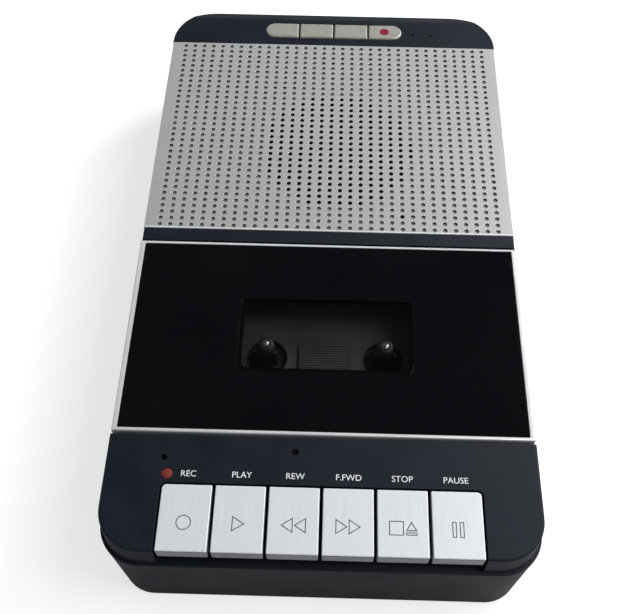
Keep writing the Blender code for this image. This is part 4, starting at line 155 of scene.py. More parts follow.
# Keys
KEY_NAMES = ("record_key", "play_key", "rewind_key", "fast_forward_key", "stop_eject_key", "pause_key")
KEY_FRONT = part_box("play_key")[0].y
KEY_REAR = -0.0989
KEY_BOTTOM = 0.0443
KEY_WIDTH = 0.0160
KEY_PITCH = 0.0171
KEY_ROW_HALF = KEY_PITCH * (len(KEY_NAMES) - 1) / 2
KEY_CENTRES = [i * KEY_PITCH - KEY_ROW_HALF for i in range(len(KEY_NAMES))]
KEY_CORNER = 0.0015
KEY_CORNER_STEPS = 8
KEY_EDGE = 0.00035
KEY_SKIN = 0.0015
KEY_WALL = 0.0013
BAY_MARGIN = 0.00065
BAY_REAR = KEY_REAR + 0.0006
LEVER_WIDTH = 0.0030
LEVER_LENGTH = 0.0100
LEVER_DROPS = (0.0054, 0.0082)
LEVER_ROOM = 0.0006
LEVER_SLOT = (0.0018, 0.0035)
PIVOT = (-0.0925, 0.0405)
BOSS_RADIUS = 0.0030
BOSS_BORE = 0.0018
BOSS_STEPS = 32
FRONT_SEAM = Vector((0.00045, 0.00080))
FRONT_SEAM_DEPTH = 0.00035
SYMBOL_Y = -0.1112
SYMBOL_LINE = 0.00030
SYMBOL_DEPTH = 0.00024
SYMBOL_HIGH = 0.0050
SYMBOL_WIDE = SYMBOL_HIGH * 0.82
RING_RADIUS = SYMBOL_HIGH * 0.48
RING_SIDES = 48
SQUARE_SIDE = SYMBOL_HIGH * 0.92
SQUARE_X = -0.0021
EJECT_X = 0.0026
EJECT_ROOF = (0.0036, 0.0030)
EJECT_ROOF_Y = SYMBOL_Y + 0.0007
EJECT_BAR = (0.0035, 0.0010)
EJECT_BAR_Y = SYMBOL_Y - 0.0017
PAUSE_X = 0.00116
PAUSE_WIDTH = 0.0014

# Rear buttons, lamps and microphone
BUTTON_NAMES = ("memory_play_button", "memory_back_button", "memory_next_button", "memory_record_button")
BUTTON_Y = 0.10995
BUTTON_RADIUS = 0.00425
BUTTON_ROW_HALF = 0.0298
BUTTON_SPLIT = 0.0006
BUTTON_EDGE = 0.0007
DOT_RADIUS = 0.0020
PRINT_ROOM = 0.00004
DOT_PLACE = (0.0222, 0.1098)
STATUS_HOLES = ((0.0348, 0.1087), (0.0426, 0.1087))
STATUS_RADIUS = 0.00075
STATUS_LENS_RADIUS = STATUS_RADIUS - 0.00005
RECORD_LAMP = (-0.0496, -0.0953)
RECORD_LAMP_RADIUS = 0.0016
POWER_HOLE = (-0.0088, -0.0871)
POWER_HOLE_RADIUS = 0.00115
MIC_HOLE = (-0.0512, -0.0899)
MIC_HOLE_RADIUS = 0.00105

# Well
SPINDLE_BORE = 0.0015
SPINDLE_RADIUS = 0.0034
SPINDLE_TIP = 0.0023
SHAFT_HEAD = 0.0025
SHAFT_TIP = 0.0014
FIN_COUNT = 3
FIN_WIDTH = 0.0011
FIN_REACH = 0.0046
FIN_ROOT = SPINDLE_BORE + 0.0009
FIN_RISE = 0.0032
FIN_DROP = 0.0016
RIB_PITCH = 0.0010
RIB_HEIGHT = 0.0004

# Screws, heads, roller and volume wheel
CROSS_ARM = 0.0014
CROSS_SLIT = 0.00035
CROSS_DEPTH = MARGIN
HEAD_ROUND = 0.0012
HEAD_SLIT = 0.00012
HEAD_SLIT_MARGIN = 0.0012
ROLLER_BUSH = 0.0012
WHEEL_TEETH = 60
TOOTH_DEPTH = 0.00035
STEM_HOLE = 0.0016

# Side and rear sockets
JACK_Z = 0.0139
JACK_PLACES = (0.0114, 0.0214, 0.0531)
JACK_RADIUS = 0.0029
JACK_HOLE = 0.0032
JACK_BORE = 0.0018
DC_BORE = JACK_BORE + 0.0004
JACK_BODY_LENGTH = 0.0100
SOCKET_SHELL = 0.0004
SOCKET_CORNER = 0.0006
TONGUE_MARGIN = 0.0011
TONGUE_SHORT = 0.0012
TONGUE_DROPS = (0.0026, 0.0008)
CONTACTS = 4
CONTACT_HALF = 0.0005
CONTACT_ENDS = (0.002, 0.0006)
CONTACT_LAYER = (0.00012, 0.0001)

# Labels on the front band
LABEL_Y = -0.0962
LABEL_HIGH = 0.0020
CAPITAL_SHARE = 0.70
LABEL_THICK = 0.00002
LABELS = ("REC", "PLAY", "REW", "F.FWD", "STOP", "PAUSE")

# Speaker plate
GRID = 33
PITCH = Vector((0.0040, 0.0030))
HOLE_RADIUS = 0.00090
HOLE_LIP = 0.00007
LIP_DROP = HOLE_LIP * 0.6
HOLE_DEPTH = 0.00066
DIMPLE_TAPER = 0.9
HOLE_SIDES = 12
LONE_HOLE = (23, 2)
PLATE_HALF = 0.0697
PLATE_FRONT = 0.00143
PLATE_REAR = 0.10134
PLATE_TURN = 0.00025
PLATE_SMOOTH_ANGLE = 20.0
FLANGE_Z = 0.0480
FLANGE_INSIDE = 0.06945
LIP_WIDTH = 0.0007
LIP_HEIGHT = 0.00012

# Turned profiles. A row is a share of the radius, what is added to that, the end it is measured
# from (0 low, 1 high) and the height from there.
PROFILES = {
    "record_lamp": (
        (0, 0, 0, 0), (1, 0, 0, 0), (1, 0, 1, -0.0006), (0.92, 0, 1, -0.0003), (0.6, 0, 1, -0.00008),
        (0, 0, 1, 0),
    ),
    "status_lens": (
        (0, 0, 1, -0.0016), (1, 0, 1, -0.0016), (1, 0, 1, -0.0006), (0.6, 0, 1, -0.0004), (0, 0, 1, -0.00035)
    ),
    "record_dot": ((0, 0, 1, -0.0003), (1, 0, 1, -0.0003), (1, 0, 1, -PRINT_ROOM / 2), (0, 0, 1, 0)),
    "foot": (
        (0, 0, 0, 0.0003), (0.5, 0, 0, 0.0003), (0.58, 0, 0, 0), (1, -0.0005, 0, 0), (1, -0.00015, 0, 0.00015),
        (1, 0, 0, 0.0005), (1, 0, 1, 0), (0, 0, 1, 0),
    ),
    "screw": (
        (0, 0, 0, 0), (0.75, 0, 0, 0), (1, 0, 0, 0.0005), (1, 0, 0, 0.0020), (0, 0.0013, 0, 0.0020),
        (0, 0.0013, 1, -0.0012), (0, 0, 1, 0),
    ),
    "spindle": (
        (0, SPINDLE_BORE, 0, 0), (1, 0, 0, 0), (1, 0, 0, 0.0012), (1, -0.0003, 0, 0.0015),
        (0, SPINDLE_RADIUS + 0.0008, 0, 0.0015), (0, SPINDLE_RADIUS, 0, 0.0023),
        (0, SPINDLE_RADIUS, 1, -0.0014), (0, SPINDLE_RADIUS - 0.0003, 1, -0.0010), (0, SPINDLE_TIP, 1, -0.0002),
        (0, SPINDLE_TIP - 0.0002, 1, 0), (0, SPINDLE_BORE, 1, 0), (0, SPINDLE_BORE, 0, 0),
    ),
    "shaft_washer": (
        (0, SHAFT_HEAD + 0.00003, 1, 0.0002), (0, SHAFT_HEAD + 0.0002, 1, 0.0002),
        (0, SHAFT_HEAD + 0.0002, 1, 0.0007), (0, SHAFT_HEAD - 0.0002, 1, 0.0010), (0, SHAFT_TIP, 1, 0.0010),
        (0, SHAFT_TIP, 1, 0.00062), (0, SHAFT_HEAD + 0.00003, 1, 0.00062), (0, SHAFT_HEAD + 0.00003, 1, 0.0002),
    ),
    "shaft_cap": (
        (0, 0, 1, 0.0006), (0, SHAFT_TIP, 1, 0.0006), (0, SHAFT_TIP, 1, 0.0011),
        (0, SHAFT_TIP * 0.85, 1, 0.0014), (0, SHAFT_TIP * 0.5, 1, 0.0016), (0, 0, 1, 0.0017),
    ),
    "pinch_tyre": (
        (0, ROLLER_BUSH, 0, 0), (1, -0.0004, 0, 0), (1, 0, 0, 0.0004), (1, 0, 1, -0.0004), (1, -0.0004, 1, 0),
        (0, ROLLER_BUSH + 0.0002, 1, 0), (0, ROLLER_BUSH, 1, -0.0004), (0, ROLLER_BUSH, 0, 0),
    ),
    "capstan_pin": (
        (0, 0, 0, 0), (1, -0.0002, 0, 0), (1, 0, 0, 0.0002), (1, 0, 1, -0.0004), (0.5, 0, 1, 0), (0, 0, 1, 0)
    ),
    "microphone_can": (
        (0, 0, 0, 0), (1, 0, 0, 0), (1, 0, 1, -0.0002), (1, -0.0002, 1, 0), (1, -0.0006, 1, 0),
        (1, -0.0006, 1, -0.0003), (0, 0, 1, -0.0003),
    ),
    "microphone_felt": (
        (0, 0, 1, -0.0003), (1, -0.0007, 1, -0.0003), (1, -0.0008, 1, -0.0001), (0, 0, 1, 0)
    ),
    "sleeve": (
        (1, 0, 0, -0.0002), (0, JACK_RADIUS, 0, -0.0002), (0, JACK_RADIUS, 1, -0.0003),
        (0, JACK_RADIUS - 0.0003, 1, 0), (1, 0.0003, 1, 0), (1, 0, 1, -0.0003), (1, 0, 0, -0.0002),
    ),
    "lining": (
        (1, -0.0003, 0, -0.0001), (1, -0.00001, 0, -0.0001), (1, -0.00001, 1, -0.0008),
        (1, -0.0003, 1, -0.0008), (1, -0.0003, 0, -0.0001),
    ),
    "power_pin": (
        (0, 0, 0, -0.0001), (0, 0.00065, 0, -0.0001), (0, 0.00065, 1, -0.0016), (0, 0.0004, 1, -0.0012),
        (0, 0, 1, -0.0011),
    ),
}

# Light
FLOOR_SIZE = 4.0
FLOOR_TONE = 0.60
FLOOR_GLOW = 0.64
SKY_TONE = (0.97, 0.985, 1.0, 1.0)
WHITE = (1.0, 1.0, 1.0, 1.0)
SKY_PLAIN = 0.32
SKY_LOW = 0.60
SKY_OVERHEAD = 0.08
SKY_FADE = (0.15, 0.80)
LAMP_TARGET = Vector((0, 0, 0.04))
LAMPS = (
    ("right_rear_light", Vector((0.55, 0.42, 0.52)), 0.35, 5.8),
    ("overhead_light", Vector((0.78, -0.10, 1.25)), 0.6, 7.8),
)

# Camera
PHOTO_WIDTH = 640
FOCAL_PIXELS = 879.0
SENSOR = 36.0
CLIP = (0.01, 20.0)
EYE = Vector((0.000736, -0.19397, 0.31870))
LOOK = Vector((-0.00967, 0.51667, -0.85613))
ACROSS = Vector((0.99963, 0.02661, 0.00476))

# Surface patterns
NOISE_SPAN = (0.3, 0.7)
# Reach and contrast of the edge mask that lightens edges, as wear and as painted highlight
EDGE_WEAR_AND_LIGHT_REACH = 0.0005
EDGE_WEAR_AND_LIGHT_CONTRAST = 6.0
DUST_TONE = (126, 130, 138)

# Surfaces: a dark and a light screen tone, a range of roughness, and what differs from plain plastic
SURFACES = {
    "case_plastic": (
        (11, 18, 28), (15, 23, 34), (0.46, 0.58),
        dict(gloss=0.22, fine=2600.0, relief=0.00004, strength=0.35, edge_wear_and_light=0.30, worn_and_lit_tone=(66, 71, 80), dust=0.03),
    ),
    "black_plastic": (
        (20, 21, 23), (27, 28, 30), (0.42, 0.55), dict(fine=3000.0, edge_wear_and_light=0.3, worn_and_lit_tone=(58, 59, 62), dust=0.05)
    ),
    "gloss_black": (
        (3, 5, 8), (6, 8, 11), (0.05, 0.10),
        dict(gloss=0.3, fine=500.0, broad=25.0, relief=0.000002, strength=0.05, dust=0.01),
    ),
    # Silver's edges are lightened strongly: painted highlight along the plate's edges and dimple lips, with
    # some wear.
    "silver_paint": (
        (180, 181, 179), (194, 195, 193), (0.34, 0.44),
        dict(
            metallic=0.35, fine=3600.0, broad=1500.0, relief=0.00001, strength=0.25, edge_wear_and_light=0.6,
            worn_and_lit_tone=(238, 239, 240), dust=0.03,
        ),
    ),
    "key_paint": (
        (224, 228, 233), (238, 241, 246), (0.32, 0.44),
        dict(metallic=0.2, brushed=True, relief=0.000008, edge_wear_and_light=0.2, worn_and_lit_tone=(252, 252, 253)),
    ),
    "smoked_clear": (
        (4, 4, 5), (7, 7, 8), (0.03, 0.06),
        dict(gloss=0.4, fine=400.0, broad=30.0, relief=0.000001, strength=0.05, alpha=0.22),
    ),
    "steel": (
        (178, 179, 181), (198, 199, 201), (0.24, 0.38),
        dict(metallic=1.0, brushed=True, relief=0.000005, strength=0.2),
    ),
    "brass": ((196, 160, 96), (214, 180, 116), (0.26, 0.40), dict(metallic=1.0, fine=1800.0)),
    "rubber": ((24, 24, 25), (32, 32, 33), (0.75, 0.88), dict(fine=3200.0, relief=0.00004, dust=0.15)),
    "board": ((24, 82, 48), (32, 98, 58), (0.38, 0.5), dict(fine=900.0, broad=240.0)),
    "paper": ((30, 30, 31), (40, 40, 42), (0.80, 0.92), dict(fine=1500.0, broad=420.0, relief=0.0001)),
    "red_lens": ((112, 36, 30), (128, 46, 38), (0.5, 0.6), dict(gloss=0.3, fine=900.0)),
    "dark_lens": ((14, 10, 11), (20, 14, 15), (0.14, 0.22), dict(gloss=0.3, fine=900.0)),
    "button_paint": (
        (160, 158, 151), (176, 174, 166), (0.34, 0.44),
        dict(metallic=0.3, fine=4200.0, broad=900.0, relief=0.00001, edge_wear_and_light=0.2, worn_and_lit_tone=(226, 225, 220)),
    ),
    "trim_paint": (
        (224, 226, 228), (232, 234, 236), (0.28, 0.34),
        dict(metallic=0.3, fine=4200.0, relief=0.000003, strength=0.15),
    ),
    "well_painted_light": ((76, 77, 76), (86, 87, 86), (0.45, 0.58), dict(fine=3000.0, dust=0.05)),
    "felt": ((12, 12, 13), (20, 20, 21), (0.9, 0.98), dict(gloss=0.1, fine=3000.0, relief=0.0001)),
    "white_print": ((224, 226, 229), (240, 242, 245), (0.45, 0.6), dict(fine=6000.0)),
    "red_print": ((124, 20, 42), (138, 28, 50), (0.4, 0.55), dict(gloss=0.3, fine=6000.0)),
    "key_side_shade": (
        (158, 161, 165), (172, 175, 179), (0.40, 0.50),
        dict(metallic=0.15, fine=4200.0, relief=0.00001, edge_wear_and_light=0.15, worn_and_lit_tone=(228, 230, 233)),
    ),
    "dimple_floor_shade": ((122, 122, 120), (138, 138, 136), (0.5, 0.6), dict(metallic=0.2, fine=3600.0)),
    "dimple_shade": ((58, 58, 56), (72, 72, 70), (0.5, 0.6), dict(fine=3600.0)),
    "edge_highlight": ((226, 227, 226), (238, 239, 238), (0.3, 0.4), dict(metallic=0.2, fine=3600.0, edge_wear_and_light=0.1)),
    "seam_shade": ((52, 54, 58), (66, 68, 72), (0.5, 0.6), dict(fine=4200.0)),
    "groove_shade": ((72, 76, 82), (88, 92, 98), (0.5, 0.6), dict(fine=6000.0)),
}


# Mesh building
def add_block(bm, low, high):
    """A box between two corners."""
    low, high = Vector(low), Vector(high)
    verts = bmesh.ops.create_cube(bm, size=1.0)["verts"]
    bmesh.ops.scale(bm, vec=high - low, verts=verts)
    bmesh.ops.translate(bm, vec=(low + high) / 2, verts=verts)


def add_rod(bm, start, end, radius, steps=TURNED_STEPS):
    """A round bar between two points; gives its points."""
    start, end = Vector(start), Vector(end)
    axis = end - start
    turn = Vector((0, 0, 1)).rotation_difference(axis).to_matrix().to_4x4()
    spot = Matrix.Translation((start + end) / 2) @ turn
    return bmesh.ops.create_cone(
        bm, cap_ends=True, segments=steps, radius1=radius, radius2=radius, depth=axis.length, matrix=spot
    )["verts"]


def round_edges(bm, edges, radius, steps, clamp=False):
    """Rounds the edges, as a mould's cutter would."""
    bmesh.ops.bevel(
        bm, geom=list(edges), offset=radius, offset_type="OFFSET", affect="EDGES", segments=steps,
        profile=0.5, material=-1, clamp_overlap=clamp,
    )


def edges_where(bm, test):
    """The edges whose two ends both pass the test."""
    return [edge for edge in bm.edges if all(test(vert.co) for vert in edge.verts)]


def edges_at(bm, height):
    """The edges that lie at one height."""
    return edges_where(bm, lambda spot: abs(spot.z - height) < TINY)


def uprights(bm, test=None):
    """The edges that stand up, of those whose middle passes the test."""
    found = []
    for edge in bm.edges:
        first, second = (vert.co for vert in edge.verts)
        across = (first.xy - second.xy).length
        if abs(first.z - second.z) > 2 * across and (test is None or test((first + second) / 2)):
            found.append(edge)
    return found


def open_edges(bm):
    return [edge for edge in bm.edges if edge.is_boundary]


def turn_flat(bm, angle):
    """Turns everything about the upright axis through the origin."""
    bmesh.ops.rotate(bm, cent=(0, 0, 0), matrix=Matrix.Rotation(angle, 3, "Z"), verts=bm.verts)


def draw_out(bm, edges):
    """Grows faces from open edges; gives the new points and the new edges between them."""
    made = bmesh.ops.extrude_edge_only(bm, edges=edges)["geom"]
    verts = [item for item in made if isinstance(item, bmesh.types.BMVert)]
    new = set(verts)
    far = [item for item in made if isinstance(item, bmesh.types.BMEdge) and new.issuperset(item.verts)]
    return verts, far


def mesh_of(name, bm):
    mesh = bpy.data.meshes.new(name)
    bm.to_mesh(mesh)
    bm.free()
    return mesh


def raw_piece(name, bm):
    """An object that holds the mesh, before its finish."""
    piece = bpy.data.objects.new(name, mesh_of(name, bm))
    bpy.context.scene.collection.objects.link(piece)
    return piece


def moulding(name, half_low, half_high, low_z, high_z, radii, edge=0.0, base_edge=0.0, shift=(0, 0)):
    """A case half: round corners, sides that lean in, and soft top and bottom edges."""
    bm = bmesh.new()
    add_block(bm, (-half_low.x, -half_low.y, low_z), (half_low.x, half_low.y, high_z))
    for vert in bm.verts:
        if vert.co.z > (low_z + high_z) / 2:
            vert.co.x *= half_high.x / half_low.x
            vert.co.y *= half_high.y / half_low.y
            vert.co.y += shift[1]
        else:
            vert.co.y += shift[0]
    for side, radius in zip((-1, 1), radii):
        round_edges(bm, uprights(bm, lambda spot: spot.y * side > 0), radius, CORNER_STEPS)
    for height, radius in ((high_z, edge), (low_z, base_edge)):
        if radius:
            round_edges(bm, edges_at(bm, height), radius, EDGE_STEPS)
    return raw_piece(name, bm)


def block(name, low, high, corner=0.0, steps=6, at=None):
    """A box, its upright edges rounded where asked."""
    bm = bmesh.new()
    add_block(bm, low, high)
    if corner:
        round_edges(bm, uprights(bm, at), corner, steps)
    return raw_piece(name, bm)


def blocks(name, corners):
    bm = bmesh.new()
    for low, high in corners:
        add_block(bm, low, high)
    return raw_piece(name, bm)


def rods(name, spans, radius, steps=TURNED_STEPS):
    bm = bmesh.new()
    for start, end in spans:
        add_rod(bm, start, end, radius, steps)
    return raw_piece(name, bm)


def holes(name, places, radius, low_z, high_z=CASE_TOP + OVERRUN):
    """Upright drills at the given places."""
    return rods(name, [((x, y, low_z), (x, y, high_z)) for x, y in places], radius)


def turned(name, shape, radius, low_z, high_z, place, steps=TURNED_STEPS, turn=None):
    """A lathe piece: the named profile spun about its axis."""
    bm = bmesh.new()
    verts = [
        bm.verts.new((radius * share + more, 0, (low_z, high_z)[end] + rise))
        for share, more, end, rise in PROFILES[shape]
    ]
    edges = [bm.edges.new(pair) for pair in zip(verts, verts[1:])]
    bmesh.ops.spin(
        bm, geom=verts + edges, cent=(0, 0, 0), axis=(0, 0, 1), dvec=(0, 0, 0), angle=math.tau, steps=steps,
        use_merge=True, use_duplicate=False,
    )
    bmesh.ops.remove_doubles(bm, verts=bm.verts, dist=TINY)
    bmesh.ops.recalc_face_normals(bm, faces=bm.faces)
    if turn is not None:
        bmesh.ops.rotate(bm, cent=(0, 0, 0), matrix=turn, verts=bm.verts)
    bmesh.ops.translate(bm, vec=place, verts=bm.verts)
    return raw_piece(name, bm)


def turned_node(node, name, shape, steps=TURNED_STEPS):
    """A lathe piece that fills the box of a node."""
    low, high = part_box(node)
    middle = (low + high) / 2
    return turned(name, shape, (high.x - low.x) / 2, low.z, high.z, (middle.x, middle.y, 0), steps)


def carve(piece, *tools, operation="DIFFERENCE"):
    """Cuts the tools from the piece, or joins them to it, and drops the tools."""
    for tool in tools:
        cutter = piece.modifiers.new("carve", "BOOLEAN")
        cutter.operation = operation
        cutter.solver = "EXACT"
        cutter.object = tool
    bpy.context.view_layer.update()
    shaped = piece.evaluated_get(bpy.context.evaluated_depsgraph_get())
    mesh = bpy.data.meshes.new_from_object(shaped)
    old = piece.data
    piece.modifiers.clear()
    piece.data = mesh
    mesh.name = piece.name
    bpy.data.meshes.remove(old)
    for tool in tools:
        spent = tool.data
        bpy.data.objects.remove(tool)
        bpy.data.meshes.remove(spent)
    return piece


def merge(piece, *others):
    return carve(piece, *others, operation="UNION")


def soften(piece, radius=FINE_EDGE, steps=2, where=None, clamp=False):
    """Rounds the sharp edges that the cutting left, by a fine radius."""
    bm = bmesh.new()
    bm.from_mesh(piece.data)
    bmesh.ops.remove_doubles(bm, verts=bm.verts, dist=TINY)
    sharp = []
    for edge in bm.edges:
        if len(edge.link_faces) != 2 or edge.calc_length() < radius:
            continue
        if math.degrees(edge.calc_face_angle()) < SHARP_ANGLE:
            continue
        if where is None or all(where(vert.co) for vert in edge.verts):
            sharp.append(edge)
    round_edges(bm, sharp, radius, steps, clamp)
    bm.to_mesh(piece.data)
    bm.free()
    return piece


def settle(piece, node=None, slot=None, finish=None, body="case", angle=SMOOTH_ANGLE, even=True):
    """Gives a piece its finish, its shading and its place: those of the node it stands for, or the named."""
    if node:
        body, slot = PLACE_OF[node]
    mesh = piece.data
    mesh.materials.clear()
    mesh.materials.append(FINISH[finish or slot])
    mesh.polygons.foreach_set("use_smooth", [True] * len(mesh.polygons))
    mesh.polygons.foreach_set("material_index", [0] * len(mesh.polygons))
    mesh.set_sharp_from_angle(angle=math.radians(angle))
    if even:
        shading = piece.modifiers.new("even_shading", "WEIGHTED_NORMAL")
        shading.keep_sharp = True
    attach(piece, body)
    if node:
        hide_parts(node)


def paint_faces(piece, finish, test):
    """Gives the faces that pass the test a finish of their own."""
    piece.data.materials.append(FINISH[finish])
    last = len(piece.data.materials) - 1
    for face in piece.data.polygons:
        if test(face):
            face.material_index = last


def paint_floor(piece, height, finish):
    """Gives the flat faces at one height a finish of their own."""
    paint_faces(piece, finish, lambda face: abs(face.center.z - height) < TINY and face.normal.z > 0.9)


# Colours and finishes
def tone(red, green, blue):
    """A screen colour, 0 to 255 a channel, as Blender's linear colour."""
    linear = []
    for channel in (red, green, blue):
        share = channel / 255
        linear.append(share / 12.92 if share <= 0.04045 else ((share + 0.055) / 1.055) ** 2.4)
    return (*linear, 1.0)


def feed(tree, socket, value):
    """Links a socket to the value, or sets it where the value is plain."""
    if isinstance(value, bpy.types.NodeSocket):
        tree.links.new(value, socket)
    else:
        socket.default_value = value


def add_node(tree, kind, *inputs, **settings):
    """A node with its inputs fed in their order or by name, and its plain properties set."""
    node = tree.nodes.new(kind)
    for label, value in settings.items():
        if hasattr(node, label):
            setattr(node, label, value)
        else:
            feed(tree, node.inputs[label.replace("_", " ")], value)
    for socket, value in zip(node.inputs, inputs):
        feed(tree, socket, value)
    return node


def add_math(tree, operation, first, second, clamp=False):
    """A sum of two sockets or numbers."""
    return add_node(tree, "ShaderNodeMath", first, second, operation=operation, use_clamp=clamp).outputs[0]


def add_noise(tree, scale, detail, roughness=0.5, place=None):
    """A noise on the object's own coordinates, or on others that are given."""
    if place is None:
        place = add_node(tree, "ShaderNodeTexCoord").outputs["Object"]
    noise = add_node(
        tree, "ShaderNodeTexNoise", Vector=place, Scale=scale, Detail=detail, Roughness=roughness
    )
    return noise.outputs["Fac"]


def spread(tree, shade, low, high, span=NOISE_SPAN):
    """The shade, from one end of its span to the other, laid over the range from low to high."""
    laid = add_node(
        tree, "ShaderNodeMapRange", Value=shade, From_Min=span[0], From_Max=span[1], To_Min=low, To_Max=high
    )
    return laid.outputs["Result"]


def mix_colour(tree, mask, first, second):
    """A colour between two, by the mask."""
    node = add_node(tree, "ShaderNodeMix", data_type="RGBA", Factor=mask)
    for label, value in (("A", first), ("B", second)):
        feed(tree, next(s for s in node.inputs if s.name == label and s.type == "RGBA"), value)
    return next(s for s in node.outputs if s.type == "RGBA")


def new_group(name, inputs, outputs):
    """An empty shader group with named number inputs and outputs; gives it, its inlet and its outlet."""
    group = bpy.data.node_groups.new(name, "ShaderNodeTree")
    for label, value in inputs.items():
        socket = group.interface.new_socket(label, in_out="INPUT", socket_type="NodeSocketFloat")
        socket.default_value = value
    for label in outputs:
        group.interface.new_socket(label, in_out="OUTPUT", socket_type="NodeSocketFloat")
    return group, group.nodes.new("NodeGroupInput").outputs, group.nodes.new("NodeGroupOutput").inputs


def make_grain_group():
    """Fine moulded texture: a height for the bump and a slow shade for colour and gloss."""
    group, inlet, outlet = new_group("moulded_grain", {"Fine": 2500.0, "Broad": 60.0}, ("Height", "Shade"))
    feed(group, outlet["Height"], add_noise(group, inlet["Fine"], 3.0, 0.6))
    feed(group, outlet["Shade"], add_noise(group, inlet["Broad"], 4.0, 0.55))
    return group


def make_brush_group():
    """Straight brushing along Y: a height and a shade, drawn out along the stroke."""
    inputs = {"Across": 4200.0, "Along": 60.0}
    group, inlet, outlet = new_group("brushed_lines", inputs, ("Height", "Shade"))
    place = add_node(group, "ShaderNodeTexCoord").outputs["Object"]
    parts = add_node(group, "ShaderNodeSeparateXYZ", place).outputs
    scales = zip(parts, (inlet["Across"], inlet["Along"], inlet["Across"]))
    scaled = [add_math(group, "MULTIPLY", part, scale) for part, scale in scales]
    stretched = add_node(group, "ShaderNodeCombineXYZ", *scaled).outputs[0]
    lines = add_noise(group, 1.0, 4.0, 0.65, stretched)
    for label in ("Height", "Shade"):
        feed(group, outlet[label], lines)
    return group


def make_edge_wear_and_light_group():
    """A mask of the edges, broken up by noise: where hands and tables rub, and where a painted highlight
    lightens them.
    """
    group, inlet, outlet = new_group("edge_wear_and_highlight", {"Amount": 0.5, "Patches": 400.0}, ("Mask",))
    sharp = add_node(group, "ShaderNodeNewGeometry").outputs["Normal"]
    rounded = add_node(group, "ShaderNodeBevel", samples=4, Radius=EDGE_WEAR_AND_LIGHT_REACH).outputs["Normal"]
    aligned = add_node(group, "ShaderNodeVectorMath", sharp, rounded, operation="DOT_PRODUCT")
    edge = add_math(group, "SUBTRACT", 1.0, aligned.outputs["Value"], clamp=True)
    edge = add_math(group, "MULTIPLY", edge, EDGE_WEAR_AND_LIGHT_CONTRAST, clamp=True)
    broken = add_math(group, "MULTIPLY", edge, add_noise(group, inlet["Patches"], 4.0))
    feed(group, outlet["Mask"], add_math(group, "MULTIPLY", broken, inlet["Amount"], clamp=True))
    return group


def make_dust_group():
    """A thin, patchy film of dust on what faces up."""
    group, inlet, outlet = new_group("settled_dust", {"Amount": 0.1, "Specks": 900.0}, ("Mask",))
    normal = add_node(group, "ShaderNodeNewGeometry").outputs["Normal"]
    upward = add_node(group, "ShaderNodeSeparateXYZ", normal).outputs["Z"]
    facing = add_math(group, "MAXIMUM", upward, 0.0)
    both = add_math(group, "MULTIPLY", add_noise(group, 45.0, 5.0), add_noise(group, inlet["Specks"], 2.0))
    lying = add_math(group, "MULTIPLY", both, facing)
    feed(group, outlet["Mask"], add_math(group, "MULTIPLY", lying, inlet["Amount"], clamp=True))
    return group


GRAIN = make_grain_group()
BRUSH = make_brush_group()
EDGE_WEAR_AND_LIGHT = make_edge_wear_and_light_group()
DUST = make_dust_group()


def make_finish(
    name, dark, light, rough, metallic=0.0, gloss=0.5, brushed=False, fine=2500.0, broad=60.0,
    relief=0.00002, strength=0.3, edge_wear_and_light=0.0, worn_and_lit_tone=None, dust=0.0, alpha=1.0,
):
    """A surface: two tones mixed by its pattern, a range of roughness, relief, edges lightened as wear and as
    painted highlight, and dust.
    """
    material = bpy.data.materials.new(name)
    material.use_nodes = True
    tree = material.node_tree
    tree.nodes.clear()
    if brushed:
        pattern = add_node(tree, "ShaderNodeGroup", node_tree=BRUSH).outputs
    else:
        pattern = add_node(tree, "ShaderNodeGroup", node_tree=GRAIN, Fine=fine, Broad=broad).outputs
    shade = spread(tree, pattern["Shade"], 0.0, 1.0)
    colour = mix_colour(tree, shade, tone(*dark), tone(*light))
    if edge_wear_and_light:
        edges = add_node(tree, "ShaderNodeGroup", node_tree=EDGE_WEAR_AND_LIGHT, Amount=edge_wear_and_light).outputs["Mask"]
        colour = mix_colour(tree, edges, colour, tone(*(worn_and_lit_tone or light)))
    roughness = spread(tree, pattern["Shade"], *rough)
    if dust:
        film = add_node(tree, "ShaderNodeGroup", node_tree=DUST, Amount=dust).outputs["Mask"]
        colour = mix_colour(tree, film, colour, tone(*DUST_TONE))
        roughness = add_math(tree, "ADD", roughness, film, clamp=True)
    bump = add_node(
        tree, "ShaderNodeBump", Strength=strength, Distance=relief, Height=pattern["Height"]
    ).outputs["Normal"]
    shader = add_node(
        tree, "ShaderNodeBsdfPrincipled", Base_Color=colour, Roughness=roughness, Normal=bump,
        Metallic=metallic, Specular_IOR_Level=gloss, Alpha=alpha,
    )
    add_node(tree, "ShaderNodeOutputMaterial", shader.outputs[0])
    return material


FINISH = {
    name: make_finish(name, dark, light, rough, **more) for name, (dark, light, rough, more) in SURFACES.items()
}
BODY_OF = {node: body for body, nodes in frame["record"]["behaviour"]["bodies"].items() for node in nodes}
PLACE_OF = {row["node"]: (BODY_OF[row["node"]], row["material_slot"]) for row in frame["record"]["subparts"]}
for node, (body, slot) in PLACE_OF.items():
    cad_mesh = frame["nodes"][node].data
    cad_mesh.materials.clear()
    cad_mesh.materials.append(FINISH[slot])


# Case
def pill(name, low_x, high_x, low_z, high_z, grow=0.0, ends=(True, True), edge=0.0):
    """A button of the rear row: a block with one or two half-round ends."""
    radius = BUTTON_RADIUS + grow
    bm = bmesh.new()
    add_block(bm, (low_x - grow, BUTTON_Y - radius, low_z), (high_x + grow, BUTTON_Y + radius, high_z))
    middle = (low_x + high_x) / 2
    for side, is_round in zip((-1, 1), ends):
        if is_round:
            end = uprights(bm, lambda spot: (spot.x - middle) * side > 0)
            round_edges(bm, end, radius - TINY, PILL_STEPS)
    if edge:
        round_edges(bm, edges_at(bm, high_z), edge, EDGE_STEPS)
    return raw_piece(name, bm)


